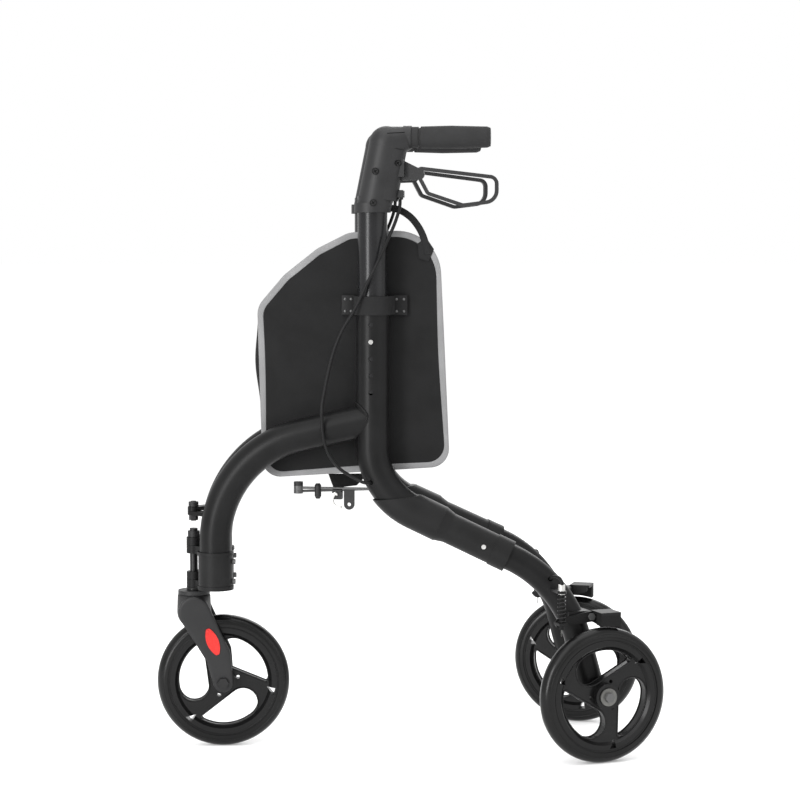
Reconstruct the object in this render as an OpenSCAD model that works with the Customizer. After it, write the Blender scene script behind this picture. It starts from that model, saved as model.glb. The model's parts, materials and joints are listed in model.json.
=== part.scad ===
// Folding three wheel rollator, in millimetres.
// +X is the way it rolls, +Y is the user's left, +Z is up, and it stands on Z = 0.

/* [Fold] */
// Angle of each side frame from the middle plane, as stored
fold_angle = 8.5; // [6:0.5:14]
// Angle of each side frame from the middle plane when fully open
open_angle = 27.5; // [20:0.5:30]
// Distance of the tubes' middle plane from the hinge pin, sideways
frame_offset = 26; // [25:0.5:32]

/* [Wheels] */
// Outer radius of a wheel
wheel_r = 100; // [90:1:110]
// Radius of the tyre's round crown, half the tyre's width
crown_r = 14.5; // [12:0.5:16]
// Height of the tyre over its rim
tyre_depth = 16; // [14:0.5:20]
// Depth of the rim's ring
rim_depth = 15; // [12:0.5:18]
// Outer radius of a wheel hub
hub_r = 19; // [16:1:22]
// Length of a wheel hub
hub_len = 38; // [32:1:44]
// Radius of an axle
axle_r = 5; // [4:0.5:6]
// Outer radius of a wheel bearing
bearing_r = 11; // [9:0.5:13]
// Width of a wheel bearing
bearing_w = 8; // [6:0.5:10]
// Distance of the front wheel behind the hinge pin
caster_trail = 44; // [36:1:52]
// Distance of a rear wheel behind the hinge pin, along its frame
wheel_back = 617; // [600:1:640]
// Distance of a rear wheel outside the hinge pin, across its frame
wheel_out = 58; // [54:1:66]

/* [Tubes] */
// Outer diameter of the front tube and the main tube
main_d = 48; // [46:1:52]
// Outer diameter of the sliding handle tube
handle_d = 44; // [42:1:44]
// Outer diameter of the rear leg
leg_d = 40; // [36:1:42]
// Wall of the front tube, the handle tube and the rear leg
tube_wall = 2.5; // [1.5:0.5:3]
// Distance of the front tube's foot behind the hinge pin
foot_back = 38; // [36:1:44]
// Height of the front tube's foot over the fork
foot_rise = 7; // [6:1:12]
// Length of the front tube's straight foot
foot_len = 70; // [64:1:78]
// Bend radius of the front tube
front_bend_r = 165; // [150:1:180]
// Bend angle of the front tube
front_bend = 77; // [72:1:82]
// Distance of the main tube behind the hinge pin
main_back = 275; // [265:1:285]
// Height of the main tube's top edge
main_top = 670; // [650:1:690]
// Height where the main tube starts to bend
main_bend_z = 461; // [450:1:470]
// Bend radius of the main tube
main_bend_r = 107; // [98:1:116]
// Bend angle of the main tube
main_bend = 65; // [62:1:68]
// Length of the main tube after its bend
main_tail = 38; // [30:1:44]

/* [Leg] */
// Outer diameter of the leg casting's socket round the main tube
socket_d = 54; // [53:1:58]
// Outer diameter of the leg casting behind its socket
casting_d = 46; // [44:1:48]
// Length of the leg casting behind the main tube's bend
casting_len = 156; // [146:1:166]
// Length of the collar at the casting's end
collar_len = 26; // [20:1:34]
// Length of the rear leg inside the casting
leg_insert = 96; // [80:1:104]
// Bend radius of the rear leg
leg_bend_r = 180; // [170:1:190]
// Bend angle of the rear leg
leg_bend = 50; // [48:1:52]
// Radius of a snap button
button_r = 3.4; // [2.6:0.1:4]
// How far a snap button stands out
button_out = 2.2; // [1:0.1:3]
// Travel of a snap button
button_travel = 3; // [2:0.5:4]

/* [Handle] */
// Depth of the elbow casing's lower edge below the grip's axis
elbow_drop = 110; // [104:1:116]
// Radius of the elbow casing at its lower edge
elbow_r = 27; // [26:0.5:28]
// Height of the grip's axis over the main tube's top
grip_rise = 246; // [230:1:262]
// Distance of the grip's front end behind the hinge pin
grip_back = 333; // [325:1:341]
// Length of the grip
grip_len = 116; // [100:1:130]
// Radius of the grip
grip_r = 16.5; // [15:0.5:18]
// Length of the handle tube inside the main tube
handle_insert = 130; // [110:1:135]
// Height of the snap button that holds the handle
height_button_z = 616; // [606:1:626]
// Distance between two height holes
hole_step = 25; // [22:1:28]

/* [Brake] */
// Distance of the lever's pivot behind the hinge pin
lever_back = 314; // [308:1:318]
// Depth of the lever's pivot below the grip's axis
lever_drop = 38; // [34:1:44]
// Thickness of the lever
lever_t = 8; // [6:0.5:10]
// Thickness of the lever's bars
lever_bar = 5.5; // [4:0.5:7]
// Diameter of the brake cable
cable_d = 5; // [4:0.5:6]
// Wire diameter of the return spring
spring_wire = 1.8; // [1.2:0.1:2]
// Radius of the return spring, to the middle of its wire
spring_r = 6; // [5:0.5:7]
// Turns of the return spring
spring_turns = 7; // [5:1:8]
// Gap between the brake shoe and the tyre
shoe_gap = 3; // [2:0.5:5]

/* [Bag] */
// Thickness of a bag panel
panel_t = 2.5; // [2:0.5:3]
// Thickness of the bag's gusset
gusset_t = 2; // [1.5:0.5:3]

/* [Brace] */
// Place of the brace pivots along the main tube's bend, as an angle from its start
brace_turn = 39.5; // [36:0.5:43]
// Length of a brace arm between its pivots
brace_len = 142; // [136:1:150]
// Diameter of a brace arm's rod
brace_d = 4; // [3.5:0.5:6]

/* [Hinge] */
// Radius of the hinge pin
pin_r = 6; // [5:0.5:7]
// Outer radius of a hinge knuckle
knuckle_r = 11; // [9.5:0.5:12]
// Height of a hinge knuckle
knuckle_h = 12; // [10:0.5:12]
// Height of the lowest knuckle's lower face over the fork
knuckle_rise = 4; // [3:0.5:6]
// Outer radius of the hinge sleeve round the front tube
sleeve_r = 27.2; // [26:0.1:27.5]
// Height of the hinge sleeve
sleeve_h = 57; // [50:1:60]

/* [Fork] */
// Height of the fork's top over the front wheel
fork_rise = 38; // [34:1:40]
// Radius of the fork's head
fork_head_r = 25; // [23:0.5:27]
// Thickness of a fork leg
fork_leg_t = 9; // [7:0.5:11]

/* [Clearances] */
// Radial gap of a running fit
running_gap = 0.05; // [0.02:0.01:0.1]
// Gap between faces that pass each other
pass_gap = 0.4; // [0.3:0.1:0.6]

/* [Hidden] */
$fn = 64;
SIDES = ["left", "right"];
CENTRE_NODES = ["hinge_pin", "hinge_caps", "bag_gusset", "fork", "fork_cap", "stem_bearing", "reflectors",
    "front_axle", "front_rim", "front_tyre", "front_bearings", "brace_catch"];
SIDE_NODES = ["front_tube", "main_tube", "hinge_sleeve", "leg_casting", "rear_leg", "axle_bolts", "brake_spring",
    "brake_cable", "bag_panel", "bag_strap", "handle_tube", "elbow_outer", "elbow_inner", "handle_fittings",
    "grip", "height_button", "leg_button", "brake_lever", "brake_arm", "brake_shoe", "rim", "tyre", "bearings",
    "brace_arm"];

rim_r = wheel_r - tyre_depth;
rim_inner_r = rim_r - rim_depth;
fork_top = 2 * wheel_r + fork_rise;
foot_z = fork_top + foot_rise;
knuckle_z = fork_top + knuckle_rise;
grip_z = main_top + grip_rise;
elbow_z = grip_z - elbow_drop;
lever_z = grip_z - lever_drop;
barrel_r = 4.5;
adjuster_back = lever_back + 2;
adjuster_z = elbow_z + 19;
brace_back = main_back + main_bend_r * (1 - cos(brace_turn));
brace_z = main_bend_z - main_bend_r * sin(brace_turn);
// Reach of the blocks that cut pieces in two
far = 2 * (main_top + grip_rise);
main_r = main_d / 2;
handle_r = handle_d / 2;
leg_r = leg_d / 2;
leg_slope = 90 - main_bend;
// The frame's reach behind the hinge pin and the front wheel's reach before it set the middle of the box
rear_toe = open_angle - fold_angle;
rear_wheel_x = wheel_back * cos(fold_angle) - wheel_out * sin(fold_angle);
rear_reach = rear_wheel_x + (wheel_r - crown_r) * cos(rear_toe) + crown_r;
front_reach = wheel_r - caster_trail;
hinge_x = (rear_reach - front_reach) / 2;

// Colours of the finishes
BLACK_PAINT = [0.10, 0.10, 0.11];
BLACK_PLASTIC = [0.16, 0.16, 0.17];
RUBBER = [0.07, 0.07, 0.07];
STEEL = [0.72, 0.72, 0.72];
RED = [0.85, 0.12, 0.08];
FABRIC = [0.13, 0.13, 0.14];

// Places a shape drawn in a side frame: -X is back along the frame, +Y is outward
module on_side(side) {
    translate([hinge_x, 0, 0])
    if (side == "left")
        rotate([0, 0, -fold_angle]) children();
    else
        mirror([0, 1, 0]) rotate([0, 0, -fold_angle]) children();
}

// Places a shape drawn with the hinge pin on the Z axis
module at_hinge() {
    translate([hinge_x, 0, 0]) children();
}

// Turns a shape drawn on the Z axis so that it lies along +Y, its X axis pointing back
module across() {
    rotate([90, 0, 180]) children();
}

// A straight pipe or rod from the origin up
module pipe(length, radius, bore) {
    difference() {
        cylinder(h = length, r = radius);
        if (bore > 0)
            translate([0, 0, -1]) cylinder(h = length + 2, r = bore);
    }
}

// A bend laps into the straight runs at its ends, thinner by a hair so that their faces don't coincide
bend_lap = 0.4;
bend_step = 0.1;

// A bent pipe or rod that starts at the origin going up and turns towards +X
module bent_pipe(bend_r, angle, radius, bore) {
    lap = atan(bend_lap / bend_r);
    translate([bend_r, 0, 0]) rotate([90, 0, 180]) rotate(-lap)
    rotate_extrude(angle = angle + 2 * lap) translate([bend_r, 0]) difference() {
        circle(radius - bend_step);
        if (bore > 0)
            circle(bore + bend_step);
    }
}

// Moves to the end of such a bend
module after_bend(bend_r, angle) {
    translate([bend_r * (1 - cos(angle)), 0, bend_r * sin(angle)]) rotate([0, angle, 0]) children();
}

// Wheels

bearing_inset = hub_len / 2 - bearing_w;
spoke_t = 16;
rim_half = 13;
window_edge_r = rim_inner_r - 0.6;
window_r = rim_inner_r / 3;
window_at = window_edge_r - window_r - 0.4;
window_turn = -49;
window_tail_r = 3.5;
window_tail_at = window_edge_r - window_tail_r - 1;
window_tail_turn = -70;
notch_turn = 36;
lightening_r = 2.8;
lightening_at = hub_r + lightening_r + 0.8;

// Three comma windows and three round holes swirl round the hub
module wheel_windows() {
    for (i = [0:2]) rotate(i * 120) {
        intersection() {
            circle(window_edge_r, $fn = 96);
            hull() {
                rotate(window_turn) translate([window_at, 0]) circle(window_r, $fn = 32);
                rotate(window_turn + window_tail_turn / 2) translate([1.4 * rim_inner_r, 0]) circle(2, $fn = 8);
                rotate(window_turn + window_tail_turn) translate([window_tail_at, 0]) circle(window_tail_r, $fn = 16);
            }
        }
        rotate(13) translate([lightening_at, 0]) circle(lightening_r, $fn = 24);
    }
}

// Three small notches through the ring, beside the spokes' feet
module ring_notches() {
    for (i = [0:2]) rotate(i * 120 + window_turn + notch_turn) translate([rim_inner_r, 0])
        polygon([[rim_depth - 5, -5], [rim_depth - 5, 6], [-3, 5]]);
}

module wheel_rim(turn) {
    color(BLACK_PLASTIC) across() difference() {
        union() {
            rotate_extrude() polygon([[rim_inner_r, -8], [rim_inner_r + 4, -rim_half], [rim_r, -rim_half],
                [rim_r, rim_half], [rim_inner_r + 4, rim_half], [rim_inner_r, 8]]);
            translate([0, 0, -hub_len / 2]) cylinder(h = hub_len, r = hub_r);
            translate([0, 0, -spoke_t / 2]) linear_extrude(spoke_t) rotate(turn) difference() {
                circle(rim_inner_r + 1);
                wheel_windows();
            }
        }
        translate([0, 0, -hub_len]) cylinder(h = 2 * hub_len, r = axle_r + 1.5);
        translate([0, 0, -hub_len]) linear_extrude(2 * hub_len) rotate(turn) ring_notches();
        for (m = [0, 1]) mirror([0, 0, m])
            translate([0, 0, bearing_inset]) cylinder(h = hub_len, r = bearing_r);
    }
}

module wheel_tyre() {
    color(RUBBER) across() difference() {
        rotate_extrude() translate([wheel_r - crown_r, 0]) circle(crown_r);
        translate([0, 0, -wheel_r]) cylinder(h = 2 * wheel_r, r = rim_r);
    }
}

module wheel_bearings() {
    color(STEEL) across() for (m = [0, 1]) mirror([0, 0, m])
        translate([0, 0, bearing_inset]) pipe(bearing_w, bearing_r, axle_r + running_gap);
}

module at_front_wheel() {
    at_hinge() translate([-caster_trail, 0, wheel_r]) children();
}

module at_rear_wheel() {
    translate([-wheel_back, wheel_out, wheel_r]) rotate([0, 0, open_angle]) children();
}

// Hinge pin, caster fork and what is on them

knob_z = knuckle_z + 52 + 2 * (knuckle_h + pass_gap);
pin_top = knob_z + 8;
collar_z = fork_top + pass_gap;
collar_h = knuckle_z - pass_gap - collar_z;
pin_foot = fork_top - 30;
bolt_r = 4;
bolt_z = knuckle_z + 110;
lug_h = 6;

// The hinge pin, whose lower end is the caster's stem
module hinge_pin() {
    color(STEEL) at_hinge() {
        translate([0, 0, pin_foot]) cylinder(h = pin_top - pin_foot, r = pin_r);
        translate([0, 0, collar_z]) cylinder(h = collar_h, r = knuckle_r);
    }
}

// The knob on the pin and the bolt of the upper hinge
module hinge_caps() {
    color(BLACK_PLASTIC) at_hinge() {
        difference() {
            union() {
                translate([0, 0, knob_z]) cylinder(h = 9, r = pin_r + 3);
                translate([0, 0, knob_z + 9]) cylinder(h = 4, r = pin_r);
            }
            translate([0, 0, knob_z - 1]) cylinder(h = 9, r = pin_r);
        }
        translate([0, 0, bolt_z - 9]) cylinder(h = 2 * lug_h + 18, r = bolt_r);
        translate([0, 0, bolt_z - 8]) cylinder(h = 8 - pass_gap, r = bolt_r + 3, $fn = 6);
        translate([0, 0, bolt_z + 2 * lug_h + 2 * pass_gap]) cylinder(h = 7, r = bolt_r + 3.5);
    }
}

fork_bore_r = 14;
fork_inner = hub_len / 2 + 1.5;
fork_outer = fork_inner + fork_leg_t;
crown_z = wheel_r * 2 + 4;
seat_z = fork_top - 6 - 20;

// The fork's round head and the upper ends of its legs stay under the cap
bulb_r = fork_head_r + 1;
bulb_z = fork_top - 7 - bulb_r;
// Rounds that shape a fork leg: distance back, height and radius
LEG_ROUNDS = [[1, bulb_z + 2, bulb_r - 2], [0.45 * caster_trail, wheel_r + 72, 21],
    [0.84 * caster_trail, wheel_r + 40, 19], [caster_trail, wheel_r, 15]];

// Outline of a fork leg in the wheel's plane, seen with back to the right
module fork_leg_outline() {
    for (i = [0:len(LEG_ROUNDS) - 2]) hull() for (p = [LEG_ROUNDS[i], LEG_ROUNDS[i + 1]])
        translate([p[0], p[1]]) circle(p[2], $fn = 32);
}

module fork() {
    color(BLACK_PLASTIC) at_hinge() difference() {
        union() {
            for (y = [fork_inner, -fork_outer])
                translate([0, y, 0]) rotate([90, 0, 180]) linear_extrude(fork_leg_t) fork_leg_outline();
            hull() {
                translate([0, 0, crown_z + 20]) cylinder(h = 6, r = fork_head_r, $fn = 32);
                translate([-4, 0, bulb_z + 4]) rotate([90, 0, 0])
                    cylinder(h = 2 * fork_outer, r = 12, center = true, $fn = 32);
                translate([0, 0, bulb_z]) sphere(bulb_r, $fn = 32);
            }
            translate([0, 0, crown_z + 18]) cylinder(h = fork_top - 6 - crown_z - 18, r = fork_head_r);
        }
        translate([-caster_trail, 0, wheel_r]) rotate([90, 0, 0])
            cylinder(h = 2 * wheel_r, r = axle_r, center = true);
        translate([-caster_trail, -fork_inner, wheel_r]) rotate([-90, 0, 0])
            cylinder(h = 2 * fork_inner, r = wheel_r + 3);
        translate([0, 0, seat_z]) cylinder(h = fork_top, r = fork_bore_r);
        translate([0, 0, pin_foot - 2]) cylinder(h = fork_top, r = pin_r + 2);
    }
}

module fork_cap() {
    color(BLACK_PLASTIC) at_hinge() translate([0, 0, fork_top - 6]) difference() {
        cylinder(h = 6, r = fork_head_r - 1);
        translate([0, 0, -1]) cylinder(h = 8, r = pin_r + 2);
    }
}

module stem_bearing() {
    color(STEEL) at_hinge() translate([0, 0, seat_z]) pipe(20, fork_bore_r, pin_r + running_gap);
}

reflector_half = 21;
reflector_arc_r = 36.5;
reflector_arc_at = reflector_arc_r - 9;

// Oval reflectors on both fork legs' outer faces
module reflectors() {
    color(RED) at_hinge() for (m = [0, 1]) mirror([0, m, 0])
        translate([-0.65 * caster_trail, fork_outer, wheel_r + 63]) rotate([90, 0, 180]) rotate(-69)
        linear_extrude(1.6) intersection() {
            circle(reflector_half);
            translate([0, reflector_arc_at]) circle(reflector_arc_r);
            translate([0, -reflector_arc_at]) circle(reflector_arc_r);
        }
}

module front_axle() {
    color(STEEL) at_front_wheel() rotate([90, 0, 0]) {
        cylinder(h = 2 * fork_outer + 2, r = axle_r, center = true);
        for (m = [0, 1]) mirror([0, 0, m])
            translate([0, 0, fork_outer]) cylinder(h = 5, r = axle_r + 3.5, $fn = m == 0 ? 64 : 6);
    }
}

module front_rim() {
    at_front_wheel() wheel_rim(0);
}

module front_tyre() {
    at_front_wheel() wheel_tyre();
}

module front_bearings() {
    at_front_wheel() wheel_bearings();
}

// Side frames, drawn in a frame's own plane

front_tail = (main_back - foot_back - front_bend_r * (1 - cos(front_bend))) / sin(front_bend);
// Where the main tube's bend ends: distance back and height
tail_back = main_back + main_bend_r * (1 - cos(main_bend));
tail_z = main_bend_z - main_bend_r * sin(main_bend);
leg_start = 4;
weld_gap = 0.3;
leg_end_slope = leg_slope + leg_bend;
leg_bend_back = tail_back + (casting_len + leg_start) * cos(leg_slope);
leg_bend_z = tail_z - (casting_len + leg_start) * sin(leg_slope);
leg_foot_back = leg_bend_back + leg_bend_r * (sin(leg_end_slope) - sin(leg_slope));
leg_foot_z = leg_bend_z - leg_bend_r * (cos(leg_slope) - cos(leg_end_slope));
leg_tail = (leg_foot_z - wheel_r) / sin(leg_end_slope);
leg_button_at = 116;
socket_r = socket_d / 2;
casting_r = casting_d / 2;
button_hole_r = button_r + 0.1;
button_seat = button_travel + 2;
cable_hole_r = cable_d / 2 + 1;

// The front tube's run, from its foot up and back to the main tube
module front_run(radius, bore) {
    translate([-foot_back, frame_offset, foot_z]) rotate([0, 0, 180]) {
        pipe(foot_len, radius, bore);
        translate([0, 0, foot_len]) {
            bent_pipe(front_bend_r, front_bend, radius, bore);
            after_bend(front_bend_r, front_bend) pipe(front_tail, radius, bore);
        }
    }
}

// The start of the main tube's bend, with up along the way down the tube
module at_main_bend() {
    translate([-main_back, frame_offset, main_bend_z]) rotate([0, 180, 0]) children();
}

// The end of the main tube's bend, where the leg starts
module at_leg() {
    at_main_bend() after_bend(main_bend_r, main_bend) children();
}

// The main tube's run, from its top down and back into the leg casting
module main_run(radius, bore) {
    translate([-main_back, frame_offset, main_bend_z]) pipe(main_top - main_bend_z, radius, bore);
    at_main_bend() bent_pipe(main_bend_r, main_bend, radius, bore);
    at_leg() pipe(main_tail, radius, bore);
}

// The rear leg's run, from inside the casting down to the axle
module leg_run(radius, bore) {
    at_leg() translate([0, 0, casting_len - leg_insert]) rotate([0, 0, 180]) {
        pipe(leg_insert + leg_start, radius, bore);
        translate([0, 0, leg_insert + leg_start]) {
            bent_pipe(leg_bend_r, leg_bend, radius, bore);
            after_bend(leg_bend_r, leg_bend) pipe(leg_tail, radius, bore);
        }
    }
}

// A hole drilled outward through the outer wall at a place on the frame
module drill_out(back, height, radius) {
    translate([-back, frame_offset, height]) rotate([-90, 0, 0]) cylinder(h = main_d, r = radius);
}

cable_in_back = 274;
cable_in_z = 408;
cable_out_back = 540;
cable_out_z = 268;

function lug_z(side) = bolt_z + (side == "left" ? 0 : lug_h + pass_gap);

// Lean and shift of the front tube at a lug's height
function lug_lean(side) = asin((lug_z(side) + lug_h / 2 - foot_z - foot_len) / front_bend_r);
function lug_back(side) = foot_back + front_bend_r * (1 - cos(lug_lean(side)));

// Lug on the front tube for the upper hinge bolt, ending inside the tube's wall
module upper_lug(side) {
    difference() {
        translate([0, 0, lug_z(side)]) linear_extrude(lug_h) hull() {
            circle(bolt_r + 5, $fn = 32);
            translate([-foot_back, frame_offset]) circle(bolt_r + 5, $fn = 32);
        }
        translate([0, 0, lug_z(side) - 1]) cylinder(h = lug_h + 2, r = bolt_r + running_gap);
        translate([-lug_back(side), frame_offset, lug_z(side) + lug_h / 2]) rotate([0, -lug_lean(side), 0])
            cylinder(h = main_d, r = main_r - tube_wall / 2, center = true);
    }
}

module front_tube(side) {
    color(BLACK_PAINT) on_side(side) difference() {
        union() {
            front_run(main_r, main_r - tube_wall);
            upper_lug(side);
        }
        translate([-main_back, frame_offset, main_bend_z - main_r])
            cylinder(h = main_top - main_bend_z, r = main_r + weld_gap);
    }
}

brace_v = frame_offset - main_r - 8;
brace_pin_r = 3;
brace_eye_r = 7;
brace_eye_h = 6.4;
ear_t = 3;

function arm_z(side) = brace_z - (side == "left" ? 0 : brace_eye_h + 0.6);

// Two ears on the main tube that hold a brace arm's pin
module brace_ears(side) {
    for (z = [arm_z(side) - brace_eye_h / 2 - pass_gap - ear_t, arm_z(side) + brace_eye_h / 2 + pass_gap])
        translate([-brace_back, 0, z]) difference() {
            linear_extrude(ear_t) {
                translate([0, brace_v]) circle(brace_eye_r);
                translate([-brace_eye_r, brace_v]) square([2 * brace_eye_r, frame_offset - main_r + 3 - brace_v]);
            }
            translate([0, brace_v, -1]) cylinder(h = ear_t + 2, r = brace_pin_r);
        }
}

module main_tube(side) {
    color(BLACK_PAINT) on_side(side) difference() {
        union() {
            main_run(main_r, handle_r + running_gap);
            brace_ears(side);
        }
        for (i = [-3:1]) drill_out(main_back, height_button_z + i * hole_step, button_hole_r);
        drill_out(cable_in_back, cable_in_z, cable_hole_r);
    }
}

function knuckle_base(side, level) = knuckle_z + level * 52 + (side == "left" ? 0 : knuckle_h + pass_gap);

// Sleeve clamped round the front tube's foot, with two hinge knuckles
module hinge_sleeve(side) {
    color(BLACK_PLASTIC) on_side(side) difference() {
        union() {
            translate([-foot_back, frame_offset, foot_z - 2]) {
                cylinder(h = sleeve_h, r = sleeve_r - 1.2);
                cylinder(h = 6, r = sleeve_r);
                translate([0, 0, sleeve_h - 5]) cylinder(h = 5, r = sleeve_r);
            }
            for (level = [0, 1]) translate([0, 0, knuckle_base(side, level)]) {
                cylinder(h = knuckle_h, r = knuckle_r);
                linear_extrude(knuckle_h) polygon([[0, -8], [-6, -8], [-foot_back, frame_offset - 12],
                    [-foot_back, frame_offset + 12], [-16, frame_offset - 2], [0, 8]]);
            }
        }
        translate([0, 0, knuckle_z - 10]) cylinder(h = 120, r = pin_r + running_gap);
        translate([-foot_back, frame_offset, foot_z]) cylinder(h = 2 * sleeve_h + 40, r = main_r);
        translate([-foot_back, frame_offset, foot_z - 10]) cylinder(h = 12, r = main_r - 6);
    }
}

tongue_angle = 34;
tongue_cut = 31;
taper_len = 16;
socket_len = main_tail + 6;

module leg_casting(side) {
    color(BLACK_PLASTIC) on_side(side) difference() {
        union() {
            difference() {
                at_main_bend() after_bend(main_bend_r, main_bend - tongue_angle)
                    bent_pipe(main_bend_r, tongue_angle, socket_r, main_r);
                at_leg() translate([socket_r, 0, 0]) rotate([0, tongue_cut, 0])
                    translate([0, -socket_d, -150]) cube([150, 2 * socket_d, 300]);
            }
            at_leg() difference() {
                union() {
                    cylinder(h = socket_len, r = socket_r);
                    translate([0, 0, socket_len - 1]) cylinder(h = taper_len, r1 = socket_r - 0.3, r2 = casting_r - 0.3);
                    cylinder(h = casting_len, r = casting_r);
                    translate([0, 0, casting_len - collar_len]) cylinder(h = collar_len, r = casting_r + 1.2);
                }
                translate([0, 0, -1]) cylinder(h = main_tail + 1, r = main_r);
                translate([0, 0, -1]) cylinder(h = casting_len + 2, r = leg_r);
                translate([0, 0, leg_button_at]) rotate([-90, 0, 0]) cylinder(h = main_d, r = button_hole_r);
            }
        }
        drill_out(cable_in_back, cable_in_z, cable_hole_r);
        translate([-brace_back - brace_eye_r - 1, brace_v - 20, brace_z - 30])
            cube([2 * brace_eye_r + 2, 34, 60]);
    }
}

boss_r = 20;
boss_in = (wheel_out - frame_offset + leg_r) / cos(open_angle) + 2;
boss_out = hub_len / 2 + 0.5;
pivot_p = 8;
pivot_z = wheel_r + 13;
arm_t = 4;
arm_in = -26;
pull_p = 60;
pull_t = -14;
pull_z = wheel_r + 4;
stop_z = wheel_r + 50;
pivot_r = 3;
ferrule_r = 5;

// Rear leg with the boss that carries the axle and the lug of the brake's pivot
module rear_leg(side) {
    color(BLACK_PAINT) on_side(side) difference() {
        union() {
            leg_run(leg_r, leg_r - tube_wall);
            difference() {
                at_rear_wheel() {
                    translate([0, -boss_in, 0]) rotate([-90, 0, 0]) cylinder(h = boss_in - boss_out, r = boss_r);
                    translate([pivot_p, -boss_in, pivot_z]) rotate([-90, 0, 0])
                        cylinder(h = boss_in + arm_in - pass_gap, r = 8);
                    translate([pivot_p, -boss_in, pivot_z - 8]) cube([34, boss_in + arm_in - pass_gap, 16]);
                    translate([pull_p, pull_t, stop_z + 1]) linear_extrude(4) hull() {
                        circle(7, $fn = 32);
                        translate([-4, -36]) circle(7, $fn = 32);
                    }
                }
                leg_run(leg_r - tube_wall / 2, 0);
            }
        }
        at_rear_wheel() {
            translate([0, -2 * boss_in, 0]) rotate([-90, 0, 0]) cylinder(h = 4 * boss_in, r = axle_r);
            translate([pivot_p, -2 * boss_in, pivot_z]) rotate([-90, 0, 0]) cylinder(h = 4 * boss_in, r = pivot_r);
            translate([pull_p, pull_t, stop_z - 1]) cylinder(h = 20, r = ferrule_r);
        }
        at_rear_wheel() translate([0, -boss_out, 0]) rotate([-90, 0, 0]) cylinder(h = wheel_r, r = hub_r + 4);
        at_leg() translate([0, 0, leg_button_at]) rotate([-90, 0, 0]) cylinder(h = main_d, r = button_hole_r);
        drill_out(cable_out_back, cable_out_z, cable_hole_r);
    }
}

washer_r = 13;
washer_t = 2.5;

// Axle with its washer and nuts, sleeve bolts, brake pivot bolt, cable stop and brace pin of one frame
module axle_bolts(side) {
    color(STEEL) on_side(side) {
        at_rear_wheel() {
            translate([0, -boss_in - 6, 0]) rotate([-90, 0, 0])
                cylinder(h = boss_in + 6 + hub_len / 2 + 4, r = axle_r);
            translate([0, -boss_in - 6, 0]) rotate([-90, 0, 0]) cylinder(h = 6, r = 8, $fn = 6);
            translate([0, hub_len / 2 + pass_gap, 0]) rotate([-90, 0, 0]) cylinder(h = washer_t, r = washer_r);
            translate([0, hub_len / 2 + pass_gap + washer_t, 0]) rotate([-90, 0, 0])
                cylinder(h = 5, r = 7.5, $fn = 6);
            translate([pivot_p, -boss_in, pivot_z]) rotate([-90, 0, 0])
                cylinder(h = boss_in + arm_in + arm_t + 4, r = pivot_r);
            translate([pivot_p, arm_in + arm_t + pass_gap, pivot_z]) rotate([-90, 0, 0])
                cylinder(h = 4, r = 5.5, $fn = 6);
            cable_stop();
        }
        for (z = [12, 42]) translate([-foot_back - sleeve_r + 1.2, frame_offset, foot_z - 2 + z])
            rotate([0, -90, 0]) cylinder(h = 4, r = 4);
        translate([-brace_back, brace_v, arm_z(side) - brace_eye_h / 2 - ear_t - 2])
            cylinder(h = brace_eye_h + 2 * ear_t + 4, r = brace_pin_r);
    }
}

// Ferrule in which the brake cable's casing ends
module cable_stop() {
    translate([pull_p, pull_t, stop_z]) difference() {
        cylinder(h = 14, r = ferrule_r);
        translate([0, 0, 3]) cylinder(h = 14, r = cable_d / 2 + 0.3);
        translate([0, 0, -1]) cylinder(h = 14, r = 1.3);
    }
}

module rim(side) {
    on_side(side) at_rear_wheel() wheel_rim(51);
}

module tyre(side) {
    on_side(side) at_rear_wheel() wheel_tyre();
}

module bearings(side) {
    on_side(side) at_rear_wheel() wheel_bearings();
}

// Brake at the rear wheel

shoe_top = wheel_r + 18;
shoe_front = 6;
shoe_back = -26;
shoe_half = 8;
carrier_t = 4;

// Outline of the brake arm in the wheel's plane: along the way it rolls, and up from the axle
module arm_outline() {
    hull() {
        translate([pivot_p, pivot_z]) circle(8, $fn = 32);
        translate([pull_p, pull_z + 2]) circle(6, $fn = 32);
    }
    hull() {
        translate([pivot_p, pivot_z]) circle(8, $fn = 32);
        translate([-16, shoe_top - 2]) circle(6, $fn = 32);
    }
}

// Arm that swings on the pivot bolt, with a tab for the cable and a carrier for the shoe
module brake_arm(side) {
    color(BLACK_PLASTIC) on_side(side) at_rear_wheel() difference() {
        union() {
            translate([0, arm_in + arm_t, 0]) rotate([90, 0, 0]) linear_extrude(arm_t) arm_outline();
            translate([pull_p - 7, arm_in, pull_z]) cube([14, pull_t - arm_in + 7, carrier_t]);
            translate([pull_p, pull_t, pull_z - 6]) cylinder(h = 6, r = 4, $fn = 6);
            translate([shoe_back, arm_in, shoe_top]) cube([shoe_front - shoe_back, shoe_half - arm_in, carrier_t]);
        }
        translate([pivot_p, 0, pivot_z]) rotate([90, 0, 0])
            cylinder(h = 4 * wheel_out, r = pivot_r + running_gap, center = true);
        translate([pull_p, pull_t, pull_z - 20]) cylinder(h = 40, r = 1.8);
    }
}

module brake_shoe(side) {
    color(RUBBER) on_side(side) at_rear_wheel() difference() {
        translate([shoe_back, -shoe_half, wheel_r - 10])
            cube([shoe_front - shoe_back, 2 * shoe_half, shoe_top - wheel_r + 10]);
        rotate([90, 0, 0]) cylinder(h = wheel_r, r = wheel_r + shoe_gap, center = true);
    }
}

// Swept tubes

function unit(v) = v / norm(v);

// Two directions square to a path at one of its points
function side_dir(t, up) = unit(cross(t, up));
function ring(p, t, up, radius, sides) = [for (k = [0:sides - 1])
    p + radius * (cos(360 * k / sides) * side_dir(t, up) + sin(360 * k / sides) * cross(side_dir(t, up), t))];
function tangent(path, i) = unit(path[min(i + 1, len(path) - 1)] - path[max(i - 1, 0)]);

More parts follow.
